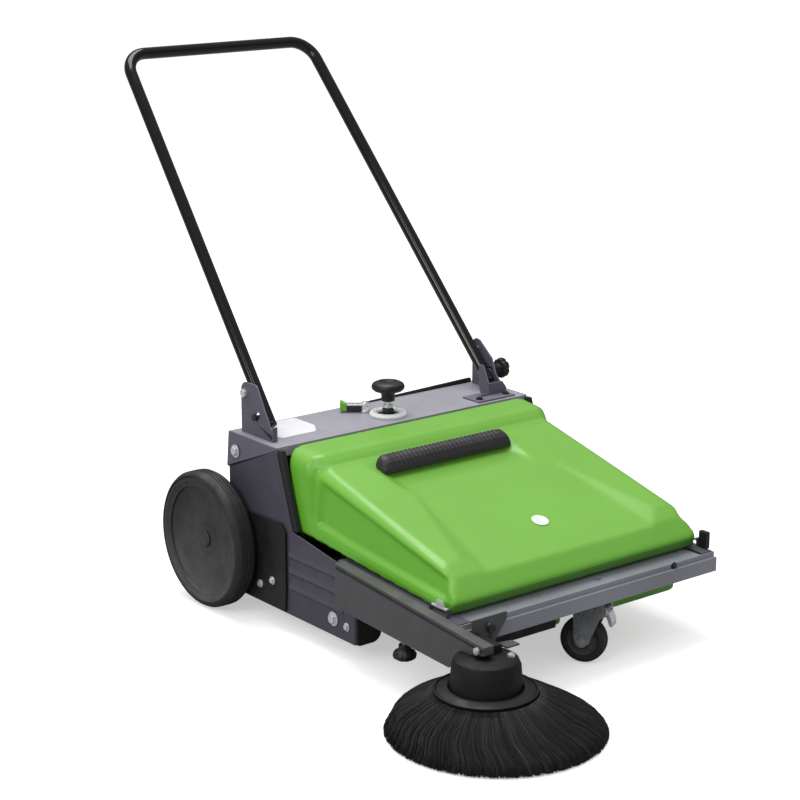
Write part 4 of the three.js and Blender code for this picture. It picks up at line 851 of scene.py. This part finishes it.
def build_main_brush():
    axis = about_x(ROLLER_Y, ROLLER_Z)
    lathe("main_brush_tube", "main_brush", "brush_core", axis, 72, 0.8,
          [(0.01, -239), (30, -239), (33, -236), (33, 236), (30, 239), (0.01, 239)],
          replaces="main_brush_core")
    lathe("main_brush_shaft", "main_brush", "zinc", axis, 40, 0.5,
          [(0.01, -268), (9, -268), (9, 252), (0.01, 252)])
    rows, tufts, per_tuft = 8, 168, 5
    twist, root_r, tip_r = 1.1, 32, 89
    paths, tones = [], []
    for row in range(rows):
        for i in range(tufts):
            x = -ROLLER_SPAN / 2 + ROLLER_SPAN * i / (tufts - 1)
            angle = row * 2 * np.pi / rows + twist * x / ROLLER_SPAN
            for _ in range(per_tuft):
                tip_x = x + rng.normal(0, 1.6)
                tip_angle = angle + rng.normal(0, 0.035)
                reach = tip_r - 3.5 * rng.random() - root_r
                path = []
                for t in (0, 0.5, 1):
                    radius, turn = root_r + reach * t, angle + (tip_angle - angle) * t
                    path.append([x + (tip_x - x) * t, ROLLER_Y + radius * math.cos(turn),
                                 ROLLER_Z + radius * math.sin(turn)])
                paths.append(path)
                tones.append(0.6 + 0.8 * rng.random())
    strands("main_brush_filaments", paths, [0.75, 0.7, 0.5], tones, "main_brush",
            "main_brush_bristles")


# ------------------------------------------------------------------ height dial and knobs
DIAL_X, DIAL_Y = -4, -123


def build_height_dial():
    axis = about_z(DIAL_X, DIAL_Y)
    lathe("height_knob_moulding", "height_setting", "black_plastic", axis, 96, 1.5,
          [(0.01, 354), (12, 354), (12.5, 366), (15, 370), (26, 373.6), (30, 377.5),
           (30.4, 382.0), (28, 386.6), (22, 389.6), (15, 390.6), (12.5, 388.2), (5, 386.8),
           (0.01, 386.6)], replaces="height_knob")
    lathe("height_dial_ring", "chassis", "white_plastic", axis, 96, 1.1,
          [(19, 327.4), (34, 327.4), (34, 331.0), (32, 333.8), (26, 334.8), (21.5, 333.6),
           (19, 330.4)], replaces="height_dial")
    lathe("height_dial_plate", "chassis", "dark_steel", axis, 72, 0.6,
          [(6.2, 327.4), (18.9, 327.4), (18.9, 330.2), (15, 331.2), (6.2, 331.2)])
    lathe("height_spindle_nut", "chassis", "dark_steel", axis, 6, 0.6,
          [(5.3, 331.8), (11.5, 331.8), (11.5, 338.5), (9.5, 340), (5.3, 340)])
    # graduation ticks round the dial: (radius, sideways) outline
    ticks, first_angle = 12, 0.2
    outline = [(24.5, -0.4), (28.0, -0.4), (28.0, 0.4), (24.5, 0.4)]
    for k in range(ticks):
        angle = 2 * math.pi * k / ticks + first_angle
        cos, sin = math.cos(angle), math.sin(angle)
        verts = [(DIAL_X + radius * cos - side * sin, DIAL_Y + radius * sin + side * cos, z)
                 for z in (334.0, 334.95) for radius, side in outline]
        mesh_object("dial_tick_%02d" % k, verts, prism_faces(4), "chassis", "dark_steel",
                    smooth=False)


def build_clamp_knob():
    axis = about_x(-92, 362)
    lathe("clamp_knob_moulding", "clamp_knob_body", "black_plastic", axis, 120, 1.3,
          [(4.3, 266.4), (8, 266.4), (8, 284), (10, 287), (17, 289), (19.5, 292), (19.5, 299),
           (17, 302.4), (8, 303.4), (0.01, 303.4), (0.01, 300), (4.3, 300)],
          lobes=lambda a: 1 - 0.13 * max(0.0, math.cos(6 * a)) ** 1.5, replaces="clamp_knob")
    lathe("clamp_knob_stud", "clamp_knob_body", "zinc", axis, 32, 0.4,
          [(0.01, 240), (4, 240), (4, 299), (0.01, 299)])


def build_arm_knob():
    axis = about_z(-302, -545)
    lathe("arm_knob_moulding", "arm_knob_body", "black_plastic", axis, 96, 1.2,
          [(0.01, 60), (14, 60.5), (19, 64), (19.8, 67), (19.5, 70), (17, 74), (10.5, 77.5),
           (10, 86), (5, 86), (0.01, 86)],
          lobes=lambda a: 1 - 0.05 * max(0.0, math.cos(8 * a)) ** 2, replaces="arm_knob")
    lathe("arm_knob_stud", "arm_knob_body", "zinc", axis, 32, 0.4,
          [(0.01, 85), (4.9, 85), (4.9, 107), (0.01, 107)])


# ------------------------------------------------------------------ caster
SWIVEL_X, SWIVEL_Y = 34, -640
SWIVEL_TURN = math.radians(-62)
CASTER_R = 40
CASTER_TRAIL = -21                          # wheel axle from the swivel axis, before turning


def caster_point(a, b, h):
    """Across, across and along the caster's axle to machine mm, with the swivel turned."""
    x, y = CASTER_TRAIL + a, h
    cos, sin = math.cos(SWIVEL_TURN), math.sin(SWIVEL_TURN)
    return SWIVEL_X + x * cos - y * sin, SWIVEL_Y + x * sin + y * cos, CASTER_R + b


def build_caster():
    lathe("caster_tyre", "caster_roller", "tyre", caster_point, 96, 0.8,
          [(27, -12.6), (32, -14.0), (36.6, -13), (39.2, -9.6), (CASTER_R, -4), (CASTER_R, 4),
           (39.2, 9.6), (36.6, 13), (32, 14.0), (27, 12.6)], replaces="caster_wheel")
    lathe("caster_hub", "caster_roller", "wheel_disc", caster_point, 96, 0.8,
          [(5.4, -14.2), (12, -14.2), (14.5, -12), (17, -9.5), (23, -9.5), (26.8, -12.4),
           (26.8, 12.4), (23, 9.5), (17, 9.5), (14.5, 12), (12, 14.2), (5.4, 14.2)])
    for number, (start, end) in enumerate(((18.7, 23.6), (-18.7, -23.6))):
        verts = []
        for along, radius in ((start, 7.6), (start + (end - start) * 0.8, 7.6), (end, 6.6)):
            for k in range(6):
                angle = math.pi / 3 * k
                verts.append(caster_point(radius * math.cos(angle), radius * math.sin(angle),
                                          along))
        nut = mesh_object("caster_axle_nut_%d" % number, verts, loft_faces(3, 6),
                          "caster_swivel", "zinc")
        clean(nut)
        bevel(nut, 0.4)
    lathe("caster_race", "caster_swivel", "zinc", about_z(SWIVEL_X, SWIVEL_Y), 72, 1.2,
          [(12, 113.4), (25.4, 113.4), (27, 116), (27, 121), (25, 124.4), (12, 127.2)])


# ------------------------------------------------------------------ small pieces
def build_arm_gap_shade():
    """Dark strip under the arm's top edge: the gap where the cover overlaps the side plate, with
    the shade in it painted dark.
    """
    seam_x, below_edge = -312.2, 4.0
    top_edge = ((-374.5, 175.2), (-563, 159.1), (-750.4, 143.0))                # (y, z)
    section = ((0.6, 2.9), (-0.7, 2.2), (-1.2, 0.0), (-0.7, -2.2), (0.6, -2.9))  # (x, z)
    verts = [(seam_x + dx, y, z - below_edge + dz) for y, z in top_edge for dx, dz in section]
    clean(mesh_object("arm_gap_shade", verts, loft_faces(3, 5), "arm", "black_plastic"))


def build_label():
    outline = fillet([(-247, -128), (-247, -34), (-150, -34), (-150, -96), (-170, -128)], 9, 6)
    verts = [(x, y, z) for z in (327.15, 327.6) for x, y in outline]
    clean(mesh_object("top_plate_label", verts, prism_faces(len(outline)), "chassis", "label"))


def hexbolt(name, facing, place, radius, head, washer, key="chrome", replaces=None):
    """Hexagon head with a chamfered top on a washer whose foot is at place."""
    points = []
    for level_r, height in ((radius, 0), (radius, head * 0.8), (radius * 0.86, head)):
        for k in range(6):
            angle = math.pi / 3 * k + 0.3
            points.append((level_r * math.cos(angle), level_r * math.sin(angle), height))
    faces = loft_faces(3, 6)
    first, segments = len(points), 32
    hole_r, rim_r = radius * 0.5, radius * 1.45
    rings = ((hole_r, 0), (rim_r, 0), (rim_r, -washer), (hole_r, -washer))
    for i, (ring_r, height) in enumerate(rings):
        start, following = first + i * segments, first + (i + 1) % 4 * segments
        for k in range(segments):
            l = (k + 1) % segments
            angle = 2 * math.pi * k / segments
            points.append((ring_r * math.cos(angle), ring_r * math.sin(angle), height))
            faces.append((start + k, following + k, following + l, start + l))
    a, b, h = np.array(points).T
    h = h + washer
    offsets = {"-x": (-h, a, b), "-y": (a, -h, b), "+z": (a, b, h)}[facing]
    bolt = mesh_object(name, np.stack(offsets, 1) + np.array(place), faces, "chassis", key)
    clean(bolt)
    bevel(bolt, 0.35)
    if replaces:
        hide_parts(replaces)


def build_bolts():
    # name, facing, place, head radius, head height, washer thickness
    hexbolt("panel_bolt_left_head", "-x", (-293.3, -55, 296), 8.2, 4.6, 1.4,
            replaces="panel_bolt_left")
    hexbolt("skirt_bolt_left_head", "-x", (-289.5, -336, 64), 8.8, 5.4, 1.6,
            replaces="skirt_bolt_left")
    hexbolt("cover_bolt_a", "-x", (-294.4, -127, 69), 5.2, 3.6, 1.2)
    hexbolt("cover_bolt_b", "-x", (-294.4, -164, 85), 5.2, 3.6, 1.2)
    hexbolt("skirt_bolt_b", "-x", (-289.3, -373, 60), 5.2, 3.6, 1.2)
    for i, x in enumerate((255, 190)):
        hexbolt("bracket_bolt_%d" % i, "+z", (x, -152, 330.0), 5.0, 3.4, 1.0, "dark_steel")
    for i, x in enumerate((-200, 190)):
        hexbolt("crossbar_bolt_%d" % i, "-y", (x, -664.2, 144), 4.6, 3.0, 0.8, "dark_steel")


# ------------------------------------------------------------------ floor, light, camera
def build_floor():
    """Pale paper: plain and bright to the eye, dimmer for the light it throws back up."""
    mesh = bpy.data.meshes.new("floor")
    z = -0.0005
    mesh.from_pydata([(-40, -40, z), (40, -40, z), (40, 60, z), (-40, 60, z)], [],
                     [(0, 1, 2, 3)])
    floor = link_object("floor", mesh)
    mat, graph, paper = surface_shader("floor_pale", (0.80, 0.80, 0.80, 1), rough=0.9,
                                       rough_var=0.02, tone_var=0.003, bump=0.0, spec=0.0)
    glow = graph.add("Emission", {"Strength": 0.47})
    bright = graph.add("AddShader", {0: paper.outputs[0], 1: glow.outputs[0]})
    dim = graph.add("BsdfDiffuse", {"Color": (0.36, 0.36, 0.37, 1)})
    seen = graph.add("LightPath").outputs["Is Camera Ray"]
    shader = graph.add("MixShader", {0: seen, 1: dim.outputs[0], 2: bright.outputs[0]})
    graph.add("OutputMaterial", {0: shader.outputs[0]})
    mesh.materials.append(mat)


def build_world():
    world = bpy.data.worlds.new("studio")
    bpy.context.scene.world = world
    graph = Graph(world)
    direction = graph.add("TexCoord").outputs["Generated"]
    axes = graph.add("SeparateXYZ", {0: direction}).outputs
    overhead = graph.remap(axes["Z"], source=(-0.05, 0.75), result=(0.30, 0.80))
    # the -X side of the room is a little brighter
    sideways = graph.remap(axes["X"], source=(-1, 1), result=(0.10, -0.10))
    room = graph.add("Math", {0: overhead, 1: sideways}).outputs[0]
    # mirror-like rays see a darker room, so gloss paint stays black between the lamps
    ray = graph.add("LightPath").outputs
    gloss = graph.remap(ray["Is Glossy Ray"], result=(1.0, 0.45))
    room = graph.multiply(room, gloss)
    # straight to the eye the backdrop is white
    strength = graph.add("Mix", {"Factor": ray["Is Camera Ray"], "A": room, "B": 1.05})
    backdrop = graph.add("Background", {"Strength": strength.outputs["Result"],
                                        "Color": (1, 1, 1, 1)})
    graph.add("OutputWorld", {0: backdrop.outputs[0]})


def area_light(name, location, target, size, energy):
    light = bpy.data.lights.new(name, "AREA")
    light.energy = energy
    light.size = size
    obj = link_object(name, light)
    obj.location = location
    aim = Vector(target) - Vector(location)
    obj.rotation_euler = aim.to_track_quat("-Z", "Y").to_euler()
    return light


def build_lights():
    area_light("key", location=(0.1, 0.9, 3.6), target=(0, 0, 0.2), size=2.2, energy=70)
    strip = area_light("strip", location=(-2.7, -1.5, 2.7), target=(0, 0, 0.5), size=0.35,
                       energy=16)
    strip.shape = "RECTANGLE"
    strip.size_y = 2.4
    area_light("left", location=(-3.2, -0.2, 1.9), target=(0, 0, 0.3), size=1.0, energy=17)


def build_camera():
    lens = bpy.data.cameras.new("camera")
    lens.lens = 96.5
    lens.sensor_width = 36
    lens.clip_end = 200
    camera = link_object("camera", lens)
    camera.location = (-2.2688, -2.8269, 1.3743)
    camera.rotation_euler = (math.radians(74.83), 0, math.radians(-38.48))
    scene = bpy.context.scene
    scene.camera = camera
    scene.view_settings.view_transform = "Standard"
    scene.view_settings.look = "None"


# ------------------------------------------------------------------ build
dress_cad_nodes()
build_handle()
build_wheel("left", -1)
build_wheel("right", 1)
build_axle()
remeshed("hopper", "hopper_moulding", "hopper_body", "hopper", voxel=3.0, smooth=7,
         sculpt=sculpt_hopper, after=2, tone_of=hopper_painted_shade)
build_grip_bar()
build_pan_shade_strip()
remeshed("lock_lever_grip", "lock_lever_grip_moulding", "lever", "hopper", voxel=1.0, smooth=6)
build_lock_lever()
build_badge()
build_side_brush_filaments()
build_side_brush_mass()
build_side_brush_hub()
build_main_brush()
build_height_dial()
build_clamp_knob()
build_arm_knob()
build_caster()
build_arm_gap_shade()
build_label()
build_bolts()
build_floor()
build_world()
build_lights()
build_camera()

bpy.context.view_layer.update()
